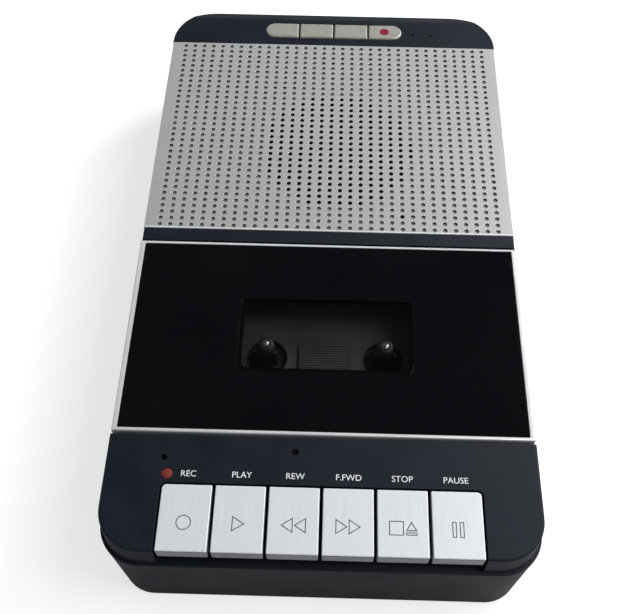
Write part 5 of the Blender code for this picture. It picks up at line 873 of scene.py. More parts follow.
def make_upper_shell():
    """The top half of the case: bay, pocket, well, grille seat and the holes of lamps and buttons."""
    lean = (RIM_SHIFT, TOP_SHIFT)
    shell = moulding(
        "upper_shell", RIM_HALF, TOP_HALF, RIDGE_BOTTOM, CASE_TOP, CORNERS, edge=TOP_ROUND, shift=lean
    )
    ridge = moulding("ridge", RIDGE_HALF, RIDGE_HALF, RIDGE_BOTTOM, RIDGE_TOP, CORNERS, edge=RIDGE_ROUND)
    merge(shell, ridge)
    inner = TOP_HALF - Vector((WALL, WALL))
    radii = [radius - WALL for radius in CORNERS]
    under, above = RIDGE_BOTTOM - OVERRUN, CASE_TOP + OVERRUN
    wide = RIDGE_HALF.x + OVERRUN
    bay_half = KEY_ROW_HALF + KEY_WIDTH / 2 + BAY_MARGIN
    bay_low = (-bay_half, -RIDGE_HALF.y - OVERRUN, RIDGE_TOP)
    carve(shell, moulding("hollow", inner, inner, under, LEDGE_BOTTOM, radii, shift=(TOP_SHIFT, TOP_SHIFT)))
    floor_low = (-bay_half - WALL, TOP_SHIFT - TOP_HALF.y + WALL / 2, RIDGE_BOTTOM)
    merge(shell, block("bay_floor", floor_low, (bay_half + WALL, BAY_REAR + WALL, LEDGE_BOTTOM + GAP)))
    slope = block("slope", (-wide, -2 * SLOPE_LENGTH, 0), (wide, 2 * SLOPE_LENGTH, 4 * SLOPE_DROP))
    slope.data.transform(Matrix.Rotation(-math.atan2(SLOPE_DROP, SLOPE_LENGTH), 4, "X"))
    slope.data.transform(Matrix.Translation((0, TOP_HALF.y + TOP_SHIFT, CASE_TOP - SLOPE_DROP)))
    side_steps = []
    for side in (-1, 1):
        xs = sorted((side * (TOP_HALF.x - SIDE_STEP), side * wide))
        side_steps.append(((xs[0], POCKET_REAR - GAP, FLANGE_Z - GAP), (xs[1], GRILLE_HIGH.y + GAP, above)))
    lever_half = LEVER_WIDTH / 2 + LEVER_ROOM
    slot_rear, slot_top = BAY_REAR + LEVER_SLOT[0], CASE_TOP - LEVER_SLOT[1]
    lever_slots = [
        ((x - lever_half, BAY_REAR - GAP, under), (x + lever_half, slot_rear, slot_top)) for x in KEY_CENTRES
    ]
    head_low = (-WELL_HALF, POCKET_FRONT - HEAD_WINDOW_REACH, under)
    usb_low, usb_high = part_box("usb_socket")
    margin = Vector((GAP, GAP, GAP))
    carve(
        shell,
        block(
            "key_bay", bay_low, (bay_half, BAY_REAR, above), KEY_CORNER + BAY_MARGIN, KEY_CORNER_STEPS,
            lambda spot: spot.y > KEY_FRONT,
        ),
        blocks("lever_slots", lever_slots),
        block("door_pocket", (-wide, POCKET_FRONT, LEDGE_Z), (wide, POCKET_REAR, above)),
        block("trench", (-wide, POCKET_REAR - TRENCH_LENGTH, TRENCH_Z), (wide, POCKET_REAR, above)),
        block("well", (-WELL_HALF, WELL_FRONT, under), (WELL_HALF, WELL_REAR, above)),
        block("head_window", head_low, (WELL_HALF, WELL_FRONT + GAP, HEAD_WINDOW_TOP)),
        block("hook_slot", HOOK_LOW - Vector((0, 0, OVERRUN)), HOOK_HIGH),
        block("grille_seat", (-wide, GRILLE_LOW.y - GAP, SEAT_Z), (wide, GRILLE_HIGH.y + GAP, above)),
        slope,
        blocks("side_steps", side_steps),
        holes("speaker_hole", [SPEAKER_PLACE], SPEAKER_RADIUS, under),
        pill("button_slot", -BUTTON_ROW_HALF, BUTTON_ROW_HALF, under, above, GAP),
        holes("status_holes", STATUS_HOLES, STATUS_RADIUS, under),
        holes("record_lamp_hole", [RECORD_LAMP], RECORD_LAMP_RADIUS + GAP, CASE_TOP - LAMP_HOLE_DEPTH),
        holes("power_hole", [POWER_HOLE], POWER_HOLE_RADIUS, under),
        holes("mic_hole", [MIC_HOLE], MIC_HOLE_RADIUS, under),
        block("usb_hole", usb_low - margin, usb_high + margin + Vector((0, OVERRUN, 0)), USB_CORNER, 5),
    )
    y, z = HINGE_PLACE
    half = EYE_WIDTH / 2
    eyes = [((x - half, y, z), (x + half, y, z)) for x in HINGE_XS]
    feet = [((x - half, y - EYE_RADIUS, LEDGE_BOTTOM + GAP), (x + half, y + EYE_RADIUS, z)) for x in HINGE_XS]
    merge(shell, rods("hinge_eyes", eyes, EYE_RADIUS, SMALL_STEPS), blocks("eye_feet", feet))
    pins = [((x - EYE_WIDTH, y, z), (x + EYE_WIDTH, y, z)) for x in HINGE_XS]
    mouths = [
        ((x - EYE_WIDTH, y - EYE_MOUTH, z), (x + EYE_WIDTH, y + EYE_MOUTH, z + OVERRUN)) for x in HINGE_XS
    ]
    carve(shell, rods("eye_bores", pins, EYE_BORE, EYE_BORE_STEPS), blocks("eye_mouths", mouths))
    soften(shell, where=lambda spot: spot.z > LEDGE_BOTTOM + MARGIN)
    settle(shell, "upper_housing")


def box_middles(names):
    """The middle and the low end of each node's box."""
    boxes = [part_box(name) for name in names]
    return [((low.x + high.x) / 2, (low.y + high.y) / 2, low.z) for low, high in boxes]


def make_lower_shell():
    """The bottom half of the case, with the cell bay, the hatch track, screw wells and side openings."""
    shell = moulding("lower_shell", BASE_HALF, LOWER_HALF, BASE_Z, SEAM_Z, LOWER_CORNERS, base_edge=BASE_ROUND)
    wall = Vector((WALL, WALL))
    radii = [radius - WALL for radius in LOWER_CORNERS]
    floor_top = BASE_Z + FLOOR_THICK
    carve(shell, moulding("inside", BASE_HALF - wall, LOWER_HALF - wall, floor_top, SEAM_Z + OVERRUN, radii))
    hatch_low, hatch_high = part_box("battery_door")
    bay_half = hatch_high.x + GAP
    bay_front = hatch_low.y - GAP
    bay_rear = BASE_HALF.y - WALL - BAY_WALL
    bay_roof = floor_top + BAY_HEIGHT
    walls_low = (-bay_half - BAY_WALL, bay_front - BAY_WALL, floor_top - MARGIN)
    walls_high = (bay_half + BAY_WALL, BASE_HALF.y - WALL / 2, bay_roof + BAY_WALL)
    merge(shell, block("cell_bay_walls", walls_low, walls_high))
    beyond = BASE_HALF.y + OVERRUN
    hatch_top = hatch_high.z + GAP
    hatch_half = bay_half - HATCH_LEDGE
    feet = [spot[:2] for spot in box_middles(FOOT_NAMES)]
    screws = box_middles(SCREW_NAMES)
    wheel_low, wheel_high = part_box("volume_wheel")
    wheel_y = (wheel_low.y + wheel_high.y) / 2
    wheel_x = (wheel_low.x + wheel_high.x) / 2
    slot_low = (wheel_x, wheel_y - WHEEL_SLOT_HALF, wheel_low.z - WHEEL_SLOT_ROOM)
    side = LOWER_HALF.x + OVERRUN
    jack_spans = [((wheel_x, y, JACK_Z), (side, y, JACK_Z)) for y in JACK_PLACES]
    screw_roof = screws[0][2] + SCREW_WELL[1]
    carve(
        shell,
        block("cell_bay", (-bay_half, bay_front, floor_top), (bay_half, bay_rear, bay_roof)),
        block("hatch_hole", (-hatch_half, bay_front, -OVERRUN), (hatch_half, beyond, hatch_top)),
        block("hatch_track", (-bay_half, bay_front, floor_top), (bay_half, beyond, hatch_top)),
        holes("foot_pockets", feet, FOOT_POCKET[0], -OVERRUN, BASE_Z + FOOT_POCKET[1]),
        holes("screw_wells", [spot[:2] for spot in screws], SCREW_WELL[0], -OVERRUN, screw_roof),
        block("volume_slot", slot_low, (side, wheel_y + WHEEL_SLOT_HALF, wheel_high.z + WHEEL_SLOT_ROOM)),
        rods("jack_holes", jack_spans, JACK_HOLE),
    )
    soften(
        shell,
        where=lambda spot: spot.z < hatch_top + MARGIN
        or abs(spot.x) > LOWER_HALF.x - SIDE_BAND
        or spot.z > SEAM_Z - SEAM_BAND,
    )
    settle(shell, "lower_housing")


# Speaker plate
def cell_mesh(through):
    """One pitch of the plate: a square of metal round a soft-lipped dimple, or round an open hole."""
    bm = bmesh.new()
    bmesh.ops.create_circle(bm, cap_ends=False, segments=HOLE_SIDES, radius=HOLE_RADIUS + HOLE_LIP)
    turn_flat(bm, math.tau / HOLE_SIDES / 2)
    edges = list(bm.edges)
    half = PITCH / 2
    for vert in draw_out(bm, edges)[0]:
        x, y = vert.co.x, vert.co.y
        if abs(abs(x) - abs(y)) < TINY:
            vert.co.x, vert.co.y = math.copysign(half.x, x), math.copysign(half.y, y)
        elif abs(x) > abs(y):
            vert.co.x, vert.co.y = math.copysign(half.x, x), y / abs(x) * half.x
        else:
            vert.co.x, vert.co.y = x / abs(y) * half.y, math.copysign(half.y, y)
    floor = GRILLE_LOW.z - GRILLE_HIGH.z if through else -HOLE_DEPTH
    for radius, depth in ((HOLE_RADIUS, -LIP_DROP), (HOLE_RADIUS * (1.0 if through else DIMPLE_TAPER), floor)):
        lower, edges = draw_out(bm, edges)
        for vert in lower:
            vert.co.xy = vert.co.xy.normalized() * radius
            vert.co.z = depth
    if not through:
        bmesh.ops.contextual_create(bm, geom=lower)
    bmesh.ops.recalc_face_normals(bm, faces=bm.faces)
    if sum(face.normal.z * face.calc_area() for face in bm.faces) < 0:
        bmesh.ops.reverse_faces(bm, faces=bm.faces)
    return mesh_of("plate_cell", bm)


def widen_border(bm, axis, side, reach):
    """Draws the sheet's open edge on one side out to the given place."""
    outmost = max(vert.co[axis] * side for vert in bm.verts)
    border = [
        edge for edge in open_edges(bm) if all(vert.co[axis] * side > outmost - TINY for vert in edge.verts)
    ]
    for vert in draw_out(bm, border)[0]:
        vert.co[axis] = reach


def make_speaker_plate():
    """The pierced plate: a square grid of dimples, open only over the speaker, its edges turned down."""
    cells = {through: cell_mesh(through) for through in (False, True)}
    centre_x = (GRILLE_LOW.x + GRILLE_HIGH.x) / 2
    first_y = GRILLE_LOW.y + PITCH.y / 2
    top, under = GRILLE_HIGH.z, GRILLE_LOW.z
    bm = bmesh.new()
    for row in range(GRID):
        for column in range(GRID):
            spot = Vector((centre_x + (column - (GRID - 1) / 2) * PITCH.x, first_y + row * PITCH.y))
            over_speaker = (spot - Vector(SPEAKER_PLACE)).length < SPEAKER_RADIUS
            before = len(bm.verts)
            bm.from_mesh(cells[over_speaker or (column, row) == LONE_HOLE])
            bm.verts.ensure_lookup_table()
            bmesh.ops.translate(bm, vec=(*spot, top), verts=bm.verts[before:])
    for mesh in cells.values():
        bpy.data.meshes.remove(mesh)
    bmesh.ops.remove_doubles(bm, verts=bm.verts, dist=JOIN)
    for side in (-1, 1):
        widen_border(bm, 0, side, side * PLATE_HALF)
    widen_border(bm, 1, -1, PLATE_FRONT)
    widen_border(bm, 1, 1, PLATE_REAR)
    outer = [edge for edge in open_edges(bm) if edge.verts[0].co.z > top - TINY]
    for vert in draw_out(bm, outer)[0]:
        vert.co.z = under
    bmesh.ops.recalc_face_normals(bm, faces=bm.faces)
    round_edges(bm, outer, PLATE_TURN, 3)
    bmesh.ops.triangle_fill(bm, use_beauty=True, use_dissolve=False, edges=open_edges(bm))
    bmesh.ops.recalc_face_normals(bm, faces=bm.faces)
    plate = raw_piece("speaker_plate", bm)
    settle(plate, "speaker_grille", angle=PLATE_SMOOTH_ANGLE)
    # Painted shade: the dimple floors get a darker silver and the hole walls a dark grey, for the shade inside
    # the recesses.
    paint_floor(plate, top - HOLE_DEPTH, "dimple_floor_shade")
    paint_faces(
        plate,
        "dimple_shade",
        lambda face: under < face.center.z < top - HOLE_LIP
        and abs(face.normal.z) < 0.5
        and abs(face.center.x) < GRILLE_HIGH.x
        and GRILLE_LOW.y < face.center.y < GRILLE_HIGH.y,
    )
    # Painted highlight: a thin lip along the plate's front edge takes a lighter silver, for the glint that edge
    # catches.
    lip_low = (PLATE_TURN - PLATE_HALF, PLATE_FRONT + PLATE_TURN / 2, top - LIP_HEIGHT)
    lip_high = (PLATE_HALF - PLATE_TURN, PLATE_FRONT + LIP_WIDTH, top + LIP_HEIGHT)
    lip = block("plate_front_lip", lip_low, lip_high)
    soften(lip, LIP_HEIGHT * 0.8)
    settle(lip, slot="silver_paint", finish="edge_highlight")
    for name, side in (("plate_flange_left", -1), ("plate_flange_right", 1)):
        xs = sorted((side * FLANGE_INSIDE, side * (PLATE_HALF - TINY)))
        bm = bmesh.new()
        add_block(bm, (xs[0], PLATE_FRONT + TINY, FLANGE_Z), (xs[1], PLATE_REAR - TINY, under + TINY))
        round_edges(bm, edges_where(bm, lambda spot: spot.z < FLANGE_Z + TINY), THIN_EDGE, 2)
        settle(raw_piece(name, bm), slot="silver_paint")


# Lid
def make_lid():
    """The silver frame round the gloss panel, and the smoky window."""
    bm = bmesh.new()
    out = Vector((TRIM_SLOPE, 0, 0))
    add_block(bm, TRIM_LOW - out, TRIM_HIGH + out)
    rear = [edge for edge in edges_where(bm, lambda spot: abs(spot.y - TRIM_HIGH.y) < TINY)
            if edge.calc_length() > TRIM_HIGH.x]
    round_edges(bm, [edge for edge in rear if edge.verts[0].co.z > TRIM_LOW.z + TINY], FRAME_REAR_ROUND, 4)
    low_rear = [edge for edge in edges_at(bm, TRIM_LOW.z)
                if all(abs(vert.co.y - TRIM_HIGH.y) < TINY for vert in edge.verts)]
    round_edges(bm, low_rear, FRAME_UNDERCUT, 1)
    sides = [edge for edge in edges_at(bm, TRIM_HIGH.z)
             if all(abs(abs(vert.co.x) - TRIM_HIGH.x - TRIM_SLOPE) < TINY for vert in edge.verts)]
    round_edges(bm, sides, TRIM_SLOPE, 2)
    trim = raw_piece("lid_frame", bm)
    width = Vector((FRAME_WIDTH, FRAME_WIDTH, -OVERRUN))
    y, z = HINGE_PLACE
    half = EYE_WIDTH / 2 + GAP
    notch_low, notch_high = y - EYE_RADIUS - GAP, z + EYE_RADIUS + SMALL_EDGE
    notches = [
        ((x - half, notch_low, TRIM_LOW.z - OVERRUN), (x + half, TRIM_HIGH.y + OVERRUN, notch_high))
        for x in HINGE_XS
    ]
    inside = block("inside", TRIM_LOW + width, TRIM_HIGH - width, FRAME_INSIDE_CORNER, 3)
    carve(trim, inside, blocks("notches", notches))
    soften(trim, SMALL_EDGE)
    settle(trim, "door_trim", finish="trim_paint")

    bm = bmesh.new()
    margin = Vector((WINDOW_MARGIN, WINDOW_MARGIN, 0))
    add_block(bm, WINDOW_LOW - margin, WINDOW_HIGH + margin)
    round_edges(bm, uprights(bm), WINDOW_CORNER, 8)
    round_edges(bm, edges_at(bm, WINDOW_HIGH.z), WINDOW_EDGE, 2)
    settle(raw_piece("lid_window", bm), "door_window")


# Keys
def flat_shape(sides, radius, turn=0):
    """A flat shape of equal sides about the origin, turned by the given degrees."""
    bm = bmesh.new()
    bmesh.ops.create_circle(bm, cap_ends=True, segments=sides, radius=radius)
    turn_flat(bm, math.radians(turn))
    return bm


def line_cutter(name, bm, centre):
    """Makes the flat shape a closed line and cuts as deep as an engraving, from under the key's top."""
    bm.faces.ensure_lookup_table()
    middle = bm.faces[0]
    bmesh.ops.inset_region(
        bm, faces=[middle], thickness=SYMBOL_LINE, use_even_offset=True, use_boundary=True
    )
    bmesh.ops.delete(bm, geom=[middle], context="FACES_ONLY")
    bmesh.ops.translate(bm, vec=(*centre, CASE_TOP - SYMBOL_DEPTH), verts=bm.verts)
    made = bmesh.ops.extrude_face_region(bm, geom=list(bm.faces))["geom"]
    tops = [item for item in made if isinstance(item, bmesh.types.BMVert)]
    bmesh.ops.translate(bm, vec=(0, 0, SYMBOL_DEPTH + MARGIN), verts=tops)
    bmesh.ops.recalc_face_normals(bm, faces=bm.faces)
    return raw_piece(name, bm)


def triangle(name, x, height, width, turn, y=SYMBOL_Y):
    """A triangle outline that points right, or up with a quarter turn."""
    bm = flat_shape(3, 1.0, -90)
    low = min(vert.co.x for vert in bm.verts)
    high = max(vert.co.x for vert in bm.verts)
    tall = max(vert.co.y for vert in bm.verts)
    for vert in bm.verts:
        vert.co.x = ((vert.co.x - low) / (high - low) - 0.5) * width
        vert.co.y = vert.co.y / tall * height / 2
    turn_flat(bm, math.radians(turn))
    return line_cutter(name, bm, (x, y))


def rectangle(name, x, width, height, y=SYMBOL_Y):
    """A rectangle outline."""
    diagonal = math.sqrt(0.5)
    bm = flat_shape(4, 1.0, 45)
    bmesh.ops.scale(bm, vec=(width / 2 / diagonal, height / 2 / diagonal, 1.0), verts=bm.verts)
    return line_cutter(name, bm, (x, y))


def key_symbol(name, x):
    """The engraved sign of each key, in the shapes that every such recorder uses."""
    high, wide = SYMBOL_HIGH, SYMBOL_WIDE
    if name == "record_key":
        return [line_cutter("ring", flat_shape(RING_SIDES, RING_RADIUS), (x, SYMBOL_Y))]
    if name == "play_key":
        return [triangle("arrow", x, high, wide, 0)]
    if name in ("rewind_key", "fast_forward_key"):
        turn = 180 if name == "rewind_key" else 0
        return [triangle("arrow", x + side * wide / 2, high, wide - GAP, turn) for side in (-1, 1)]
    if name == "stop_eject_key":
        return [
            rectangle("square", x + SQUARE_X, SQUARE_SIDE, SQUARE_SIDE),
            triangle("roof", x + EJECT_X, *EJECT_ROOF, 90, EJECT_ROOF_Y),
            rectangle("bar", x + EJECT_X, *EJECT_BAR, EJECT_BAR_Y),
        ]
    return [rectangle("bar", x + side * PAUSE_X, PAUSE_WIDTH, high) for side in (-1, 1)]


def make_keys():
    """Six keys: a hollow cap with soft edges, an engraved sign and the lever that reaches its shaft."""
    half, lever_half = KEY_WIDTH / 2, LEVER_WIDTH / 2
    seam_end = KEY_FRONT + FRONT_SEAM_DEPTH
    ends = {KEY_NAMES[0]: -1, KEY_NAMES[-1]: 1}
    for name, x in zip(KEY_NAMES, KEY_CENTRES):
        bm = bmesh.new()
        add_block(bm, (x - half, KEY_FRONT, KEY_BOTTOM), (x + half, KEY_REAR, CASE_TOP))
        if name in ends:
            corner = uprights(bm, lambda spot: (spot.x - x) * ends[name] > 0 and spot.y > SYMBOL_Y)
            round_edges(bm, corner, KEY_CORNER, KEY_CORNER_STEPS)
        sharp = [edge for edge in uprights(bm) if math.degrees(edge.calc_face_angle()) > SHARP_ANGLE]
        round_edges(bm, sharp + edges_at(bm, CASE_TOP), KEY_EDGE, EDGE_STEPS)
        cap = raw_piece(name.replace("_key", "_cap"), bm)
        hollow = block(
            "hollow",
            (x - half + KEY_WALL, KEY_FRONT + KEY_WALL, KEY_BOTTOM - OVERRUN),
            (x + half - KEY_WALL, KEY_REAR - KEY_WALL, CASE_TOP - KEY_SKIN),
        )
        seam = block(
            "seam",
            (x - half + KEY_EDGE, KEY_FRONT - OVERRUN, CASE_TOP - FRONT_SEAM.y),
            (x + half - KEY_EDGE, seam_end, CASE_TOP - FRONT_SEAM.x),
        )
        carve(cap, hollow, seam, *key_symbol(name, x))
        left, right = x - lever_half, x + lever_half
        upper, lower = (CASE_TOP - drop for drop in LEVER_DROPS)
        lever = [
            ((left, KEY_REAR - LEVER_LENGTH, upper), (right, KEY_REAR - KEY_WALL / 2, CASE_TOP - KEY_SKIN / 2)),
            ((left, BAY_REAR - GAP - KEY_WALL, lower), (right, PIVOT[0], upper)),
        ]
        merge(cap, blocks("lever", lever))
        merge(cap, rods("boss", [((left, *PIVOT), (right, *PIVOT))], BOSS_RADIUS, BOSS_STEPS))
        through = [((x - LEVER_WIDTH, *PIVOT), (x + LEVER_WIDTH, *PIVOT))]
        carve(cap, rods("bore", through, BOSS_BORE, BOSS_STEPS))
        settle(cap, name)
        # Painted shade: the floors of the engraved lines get a dark grey, for the shade in the grooves.
        paint_floor(cap, CASE_TOP - SYMBOL_DEPTH, "groove_shade")
        # Painted shade: the cap's sides and front get a greyer, darker tone than its top, for the shade these
        # faces lie in under light from above.
        paint_faces(cap, "key_side_shade", lambda face: face.normal.z < 0.3 and face.center.z < CASE_TOP)
        # Painted shade: the faces inside the front seam get a dark grey, for the shade in the seam.
        paint_faces(
            cap,
            "seam_shade",
            lambda face: KEY_FRONT + TINY < face.center.y < seam_end + TINY
            and FRONT_SEAM.x - TINY < CASE_TOP - face.center.z < FRONT_SEAM.y + TINY,
        )


# Rear buttons
def make_rear_buttons():
    """Four caps in one row with round ends, the last of them with its red dot."""
    width = (2 * BUTTON_ROW_HALF + BUTTON_SPLIT) / len(BUTTON_NAMES)
    last = len(BUTTON_NAMES) - 1
    for i, name in enumerate(BUTTON_NAMES):
        low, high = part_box(name)
        high.z -= PRINT_ROOM
        left = -BUTTON_ROW_HALF + i * width
        cap = pill(
            name.replace("_button", "_cap"), left, left + width - BUTTON_SPLIT, low.z, high.z,
            ends=(i == 0, i == last), edge=BUTTON_EDGE,
        )
        soften(cap, SMALL_EDGE, 2, lambda spot: spot.z > high.z - BUTTON_EDGE * 2)
        settle(cap, name, finish="button_paint")
    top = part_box(BUTTON_NAMES[last])[1].z
    dot = turned("record_dot", "record_dot", DOT_RADIUS, top, top, (*DOT_PLACE, 0))
    settle(dot, slot="red_lens", finish="red_print", body=BUTTON_NAMES[last])


# Lamps, feet, screws and side fittings
def make_small_parts():
    """The record lamp, the feet and the screws with their crossed slots."""
    low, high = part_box("record_led")
    radius = RECORD_LAMP_RADIUS + GAP * 0.8
    settle(turned("record_lamp", "record_lamp", radius, low.z, high.z, (*RECORD_LAMP, 0)), "record_led")
    for name in FOOT_NAMES:
        settle(turned_node(name, name.replace("rubber_", "soft_"), "foot"), name)
    for name in SCREW_NAMES:
        screw = turned_node(name, name.replace("housing_", "case_"), "screw", SMALL_STEPS)
        low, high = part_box(name)
        x, y = ((low + high) / 2).xy
        for across, along in ((CROSS_ARM, CROSS_SLIT), (CROSS_SLIT, CROSS_ARM)):
            corner = (x - across, y - along, low.z - CROSS_DEPTH)
            carve(screw, block("cross", corner, (x + across, y + along, low.z + CROSS_DEPTH)))
        settle(screw, name)


def softened(node, name, radius=CAD_EDGE, steps=2, finish=None):
    """A joined copy of a CAD piece with its sharp edges rounded, which stands for it."""
    bm = bmesh.new()
    bm.from_mesh(frame["nodes"][node].data)
    bmesh.ops.remove_doubles(bm, verts=bm.verts, dist=TINY)
    bmesh.ops.dissolve_limit(bm, angle_limit=math.radians(0.5), verts=bm.verts, edges=bm.edges)
    piece = soften(raw_piece(name, bm), radius, steps, clamp=True)
    settle(piece, node, finish=finish)


def make_well():
    """What shows under the window and the open lid: spindles, tray, ribbed pad, shaft heads, lid panel."""
    # Painted light: the tray and the ribbed pad take a grey much lighter than their black plastic, to make up
    # for the light the smoky window holds back.
    softened("cassette_tray", "well_tray", TRAY_EDGE, 3, "well_painted_light")
    softened("cassette_door", "lid_panel", SMALL_EDGE)
    for node, name in (("supply_spindle", "supply_hub"), ("take_up_spindle", "take_up_hub")):
        low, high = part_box(node)
        middle = (low + high) / 2
        hub = turned_node(node, name, "spindle")
        fins = []
        for turn in range(FIN_COUNT):
            bm = bmesh.new()
            add_block(
                bm, (FIN_ROOT, -FIN_WIDTH / 2, low.z + FIN_RISE), (FIN_REACH, FIN_WIDTH / 2, high.z - FIN_DROP)
            )
            outer = edges_where(bm, lambda spot: spot.x > FIN_REACH - TINY)
            round_edges(bm, outer, GAP, 3)
            turn_flat(bm, math.tau * turn / FIN_COUNT + math.pi / 2)
            bmesh.ops.translate(bm, vec=(middle.x, middle.y, 0), verts=bm.verts)
            fins.append(raw_piece(f"fin_{turn}", bm))
        merge(hub, *fins)
        settle(hub, node)
        settle(turned_node(node, name.replace("hub", "shaft_washer"), "shaft_washer"), slot="black_plastic")
        settle(turned_node(node, name.replace("hub", "shaft_cap"), "shaft_cap"), slot="steel")

    low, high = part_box("cassette_rest_pad")
    ribs = round((high.y - low.y) / RIB_PITCH)
    bm = bmesh.new()
    bmesh.ops.create_grid(bm, x_segments=1, y_segments=2 * ribs + 1, size=0.5)
    bmesh.ops.scale(bm, vec=(high.x - low.x, high.y - low.y, 1), verts=bm.verts)
    spot = ((low.x + high.x) / 2, (low.y + high.y) / 2, high.z - RIB_HEIGHT)
    bmesh.ops.translate(bm, vec=spot, verts=bm.verts)
    strips = sorted(bm.faces, key=lambda face: face.calc_center_median().y)
    raised = bmesh.ops.extrude_discrete_faces(bm, faces=strips[1::2])["faces"]
    bmesh.ops.translate(bm, vec=(0, 0, RIB_HEIGHT), verts=list({v for face in raised for v in face.verts}))
    for vert in draw_out(bm, open_edges(bm))[0]:
        vert.co.z = low.z
    bmesh.ops.remove_doubles(bm, verts=bm.verts, dist=TINY)
    bmesh.ops.holes_fill(bm, edges=open_edges(bm), sides=0)
    bmesh.ops.recalc_face_normals(bm, faces=bm.faces)
    settle(raw_piece("ribbed_pad", bm), "cassette_rest_pad", finish="well_painted_light")


def make_mechanism():
    """What the head window shows under the lid: heads, pinch roller, arm, capstan and their plates."""
    softened("head_plate", "head_bridge")
    softened("pinch_arm", "pinch_lever")
    softened("key_bracket", "key_frame")
    softened("deck_plate", "deck_base", THIN_EDGE)
    softened("battery_door", "battery_hatch_cover", SMALL_EDGE)
    for node, name, gaps in (("record_play_head", "tape_head", 2), ("erase_head", "erasing_head", 1)):
        low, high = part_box(node)
        head = block(name, low, high, HEAD_ROUND, at=lambda spot: spot.y > (low.y + high.y) / 2)
        slits = []
        for i in range(gaps):
            x = low.x + (i + 1) * (high.x - low.x) / (gaps + 1)
            slit_low = (x - HEAD_SLIT, high.y - GAP, low.z + HEAD_SLIT_MARGIN)
            slits.append(block("slit", slit_low, (x + HEAD_SLIT, high.y + MARGIN, high.z - HEAD_SLIT_MARGIN)))
        carve(head, *slits)
        soften(head, CAD_EDGE, clamp=True)
        settle(head, node)
    settle(turned_node("pinch_roller", "pinch_tyre", "pinch_tyre"), "pinch_roller")
    settle(turned_node("capstan_shaft", "capstan_pin", "capstan_pin"), "capstan_shaft")


def make_sockets():
    """Jacks on the right side and the memory socket behind: round sleeves, a pin, a shell and its tongue."""
    along = Matrix.Rotation(math.pi / 2, 3, "Y")
    sockets = (("audio_jacks", JACK_PLACES[:2], JACK_BORE), ("dc_jack", JACK_PLACES[2:], DC_BORE))
    for node, rows, bore in sockets:
        low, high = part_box(node)
        front = low.x + JACK_BODY_LENGTH
        body = block(node.replace("jack", "socket_block"), (low.x, low.y, low.z), (front, high.y, high.z))
        soften(body, GAP, 3)
        settle(body, node)
        for i, y in enumerate(rows):
            parts = [
                (f"{node}_sleeve_{i}", "sleeve", "black_plastic"),
                (f"{node}_lining_{i}", "lining", "steel"),
            ]
            if node == "dc_jack":
                parts.append(("power_pin", "power_pin", "steel"))
            for name, shape, slot in parts:
                piece = turned(name, shape, bore, 0, high.x - front, (front, y, JACK_Z), turn=along)
                settle(piece, slot=slot)

    low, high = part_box("usb_socket")
    bm = bmesh.new()
    add_block(bm, low, high)
    lengthwise = [e for e in bm.edges if abs(e.verts[0].co.y - e.verts[1].co.y) > MARGIN]
    round_edges(bm, lengthwise, SOCKET_CORNER, 4)
    shell = raw_piece("memory_socket", bm)
    thick = Vector((SOCKET_SHELL, SOCKET_SHELL, SOCKET_SHELL))
    carve(shell, block("mouth", low + thick, high - thick + Vector((0, OVERRUN, 0))))
    soften(shell, THIN_EDGE, clamp=True)
    settle(shell, "usb_socket")
    tongue_low = Vector((low.x + TONGUE_MARGIN, low.y + SOCKET_SHELL, high.z - TONGUE_DROPS[0]))
    tongue_high = Vector((high.x - TONGUE_MARGIN, high.y - TONGUE_SHORT, high.z - TONGUE_DROPS[1]))
    tongue = block("socket_tongue", tongue_low, tongue_high)
    soften(tongue, SMALL_EDGE)
    settle(tongue, slot="black_plastic")
    step = (tongue_high.x - tongue_low.x) / CONTACTS
    back, front = tongue_low.y + CONTACT_ENDS[0], tongue_high.y - CONTACT_ENDS[1]
    below, above = tongue_low.z - CONTACT_LAYER[0], tongue_low.z + CONTACT_LAYER[1]
    middles = [tongue_low.x + (i + 0.5) * step for i in range(CONTACTS)]
    strips = [((x - CONTACT_HALF, back, below), (x + CONTACT_HALF, front, above)) for x in middles]
    contacts = blocks("socket_contacts", strips)
    soften(contacts, CONTACT_EDGE, 1)
    settle(contacts, slot="brass")


def make_microphone():
    """A small metal can with a felt face, behind its hole."""
    settle(turned_node("microphone", "microphone_can", "microphone_can"), "microphone")
    face = turned_node("microphone", "microphone_felt", "microphone_felt")
    settle(face, slot="black_plastic", finish="felt")


def make_status_lenses():
    """Two small dark lenses under the holes beside the rear buttons."""
    for side, spot in zip(("left", "right"), STATUS_HOLES):
        place = (*spot, 0)
        lens = turned(
            f"status_lens_{side}", "status_lens", STATUS_LENS_RADIUS, CASE_TOP, CASE_TOP, place, SMALL_STEPS
        )
        settle(lens, slot="dark_lens")


def make_volume_wheel():
    """The edge wheel on the right side, finely toothed."""
    low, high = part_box("volume_wheel")
    middle = (low + high) / 2
    radius = (high.x - low.x) / 2
    bm = bmesh.new()
    verts = add_rod(bm, (*middle.xy, low.z), (*middle.xy, high.z), radius, WHEEL_TEETH * 2)
    for i, vert in enumerate(sorted(verts, key=lambda v: math.atan2(v.co.y - middle.y, v.co.x - middle.x))):
        if i // 2 % 2:
            offset = (vert.co - middle).xy * (TOOTH_DEPTH / radius)
            vert.co.x -= offset.x
            vert.co.y -= offset.y
    rims = [e for e in bm.edges if abs(e.verts[0].co.z - e.verts[1].co.z) < TINY]
    round_edges(bm, rims, SMALL_EDGE, 2)
    wheel = raw_piece("edge_wheel", bm)
    carve(wheel, holes("stem_hole", [middle.xy], STEM_HOLE, low.z - OVERRUN, high.z + OVERRUN))
    settle(wheel, "volume_wheel", angle=30)


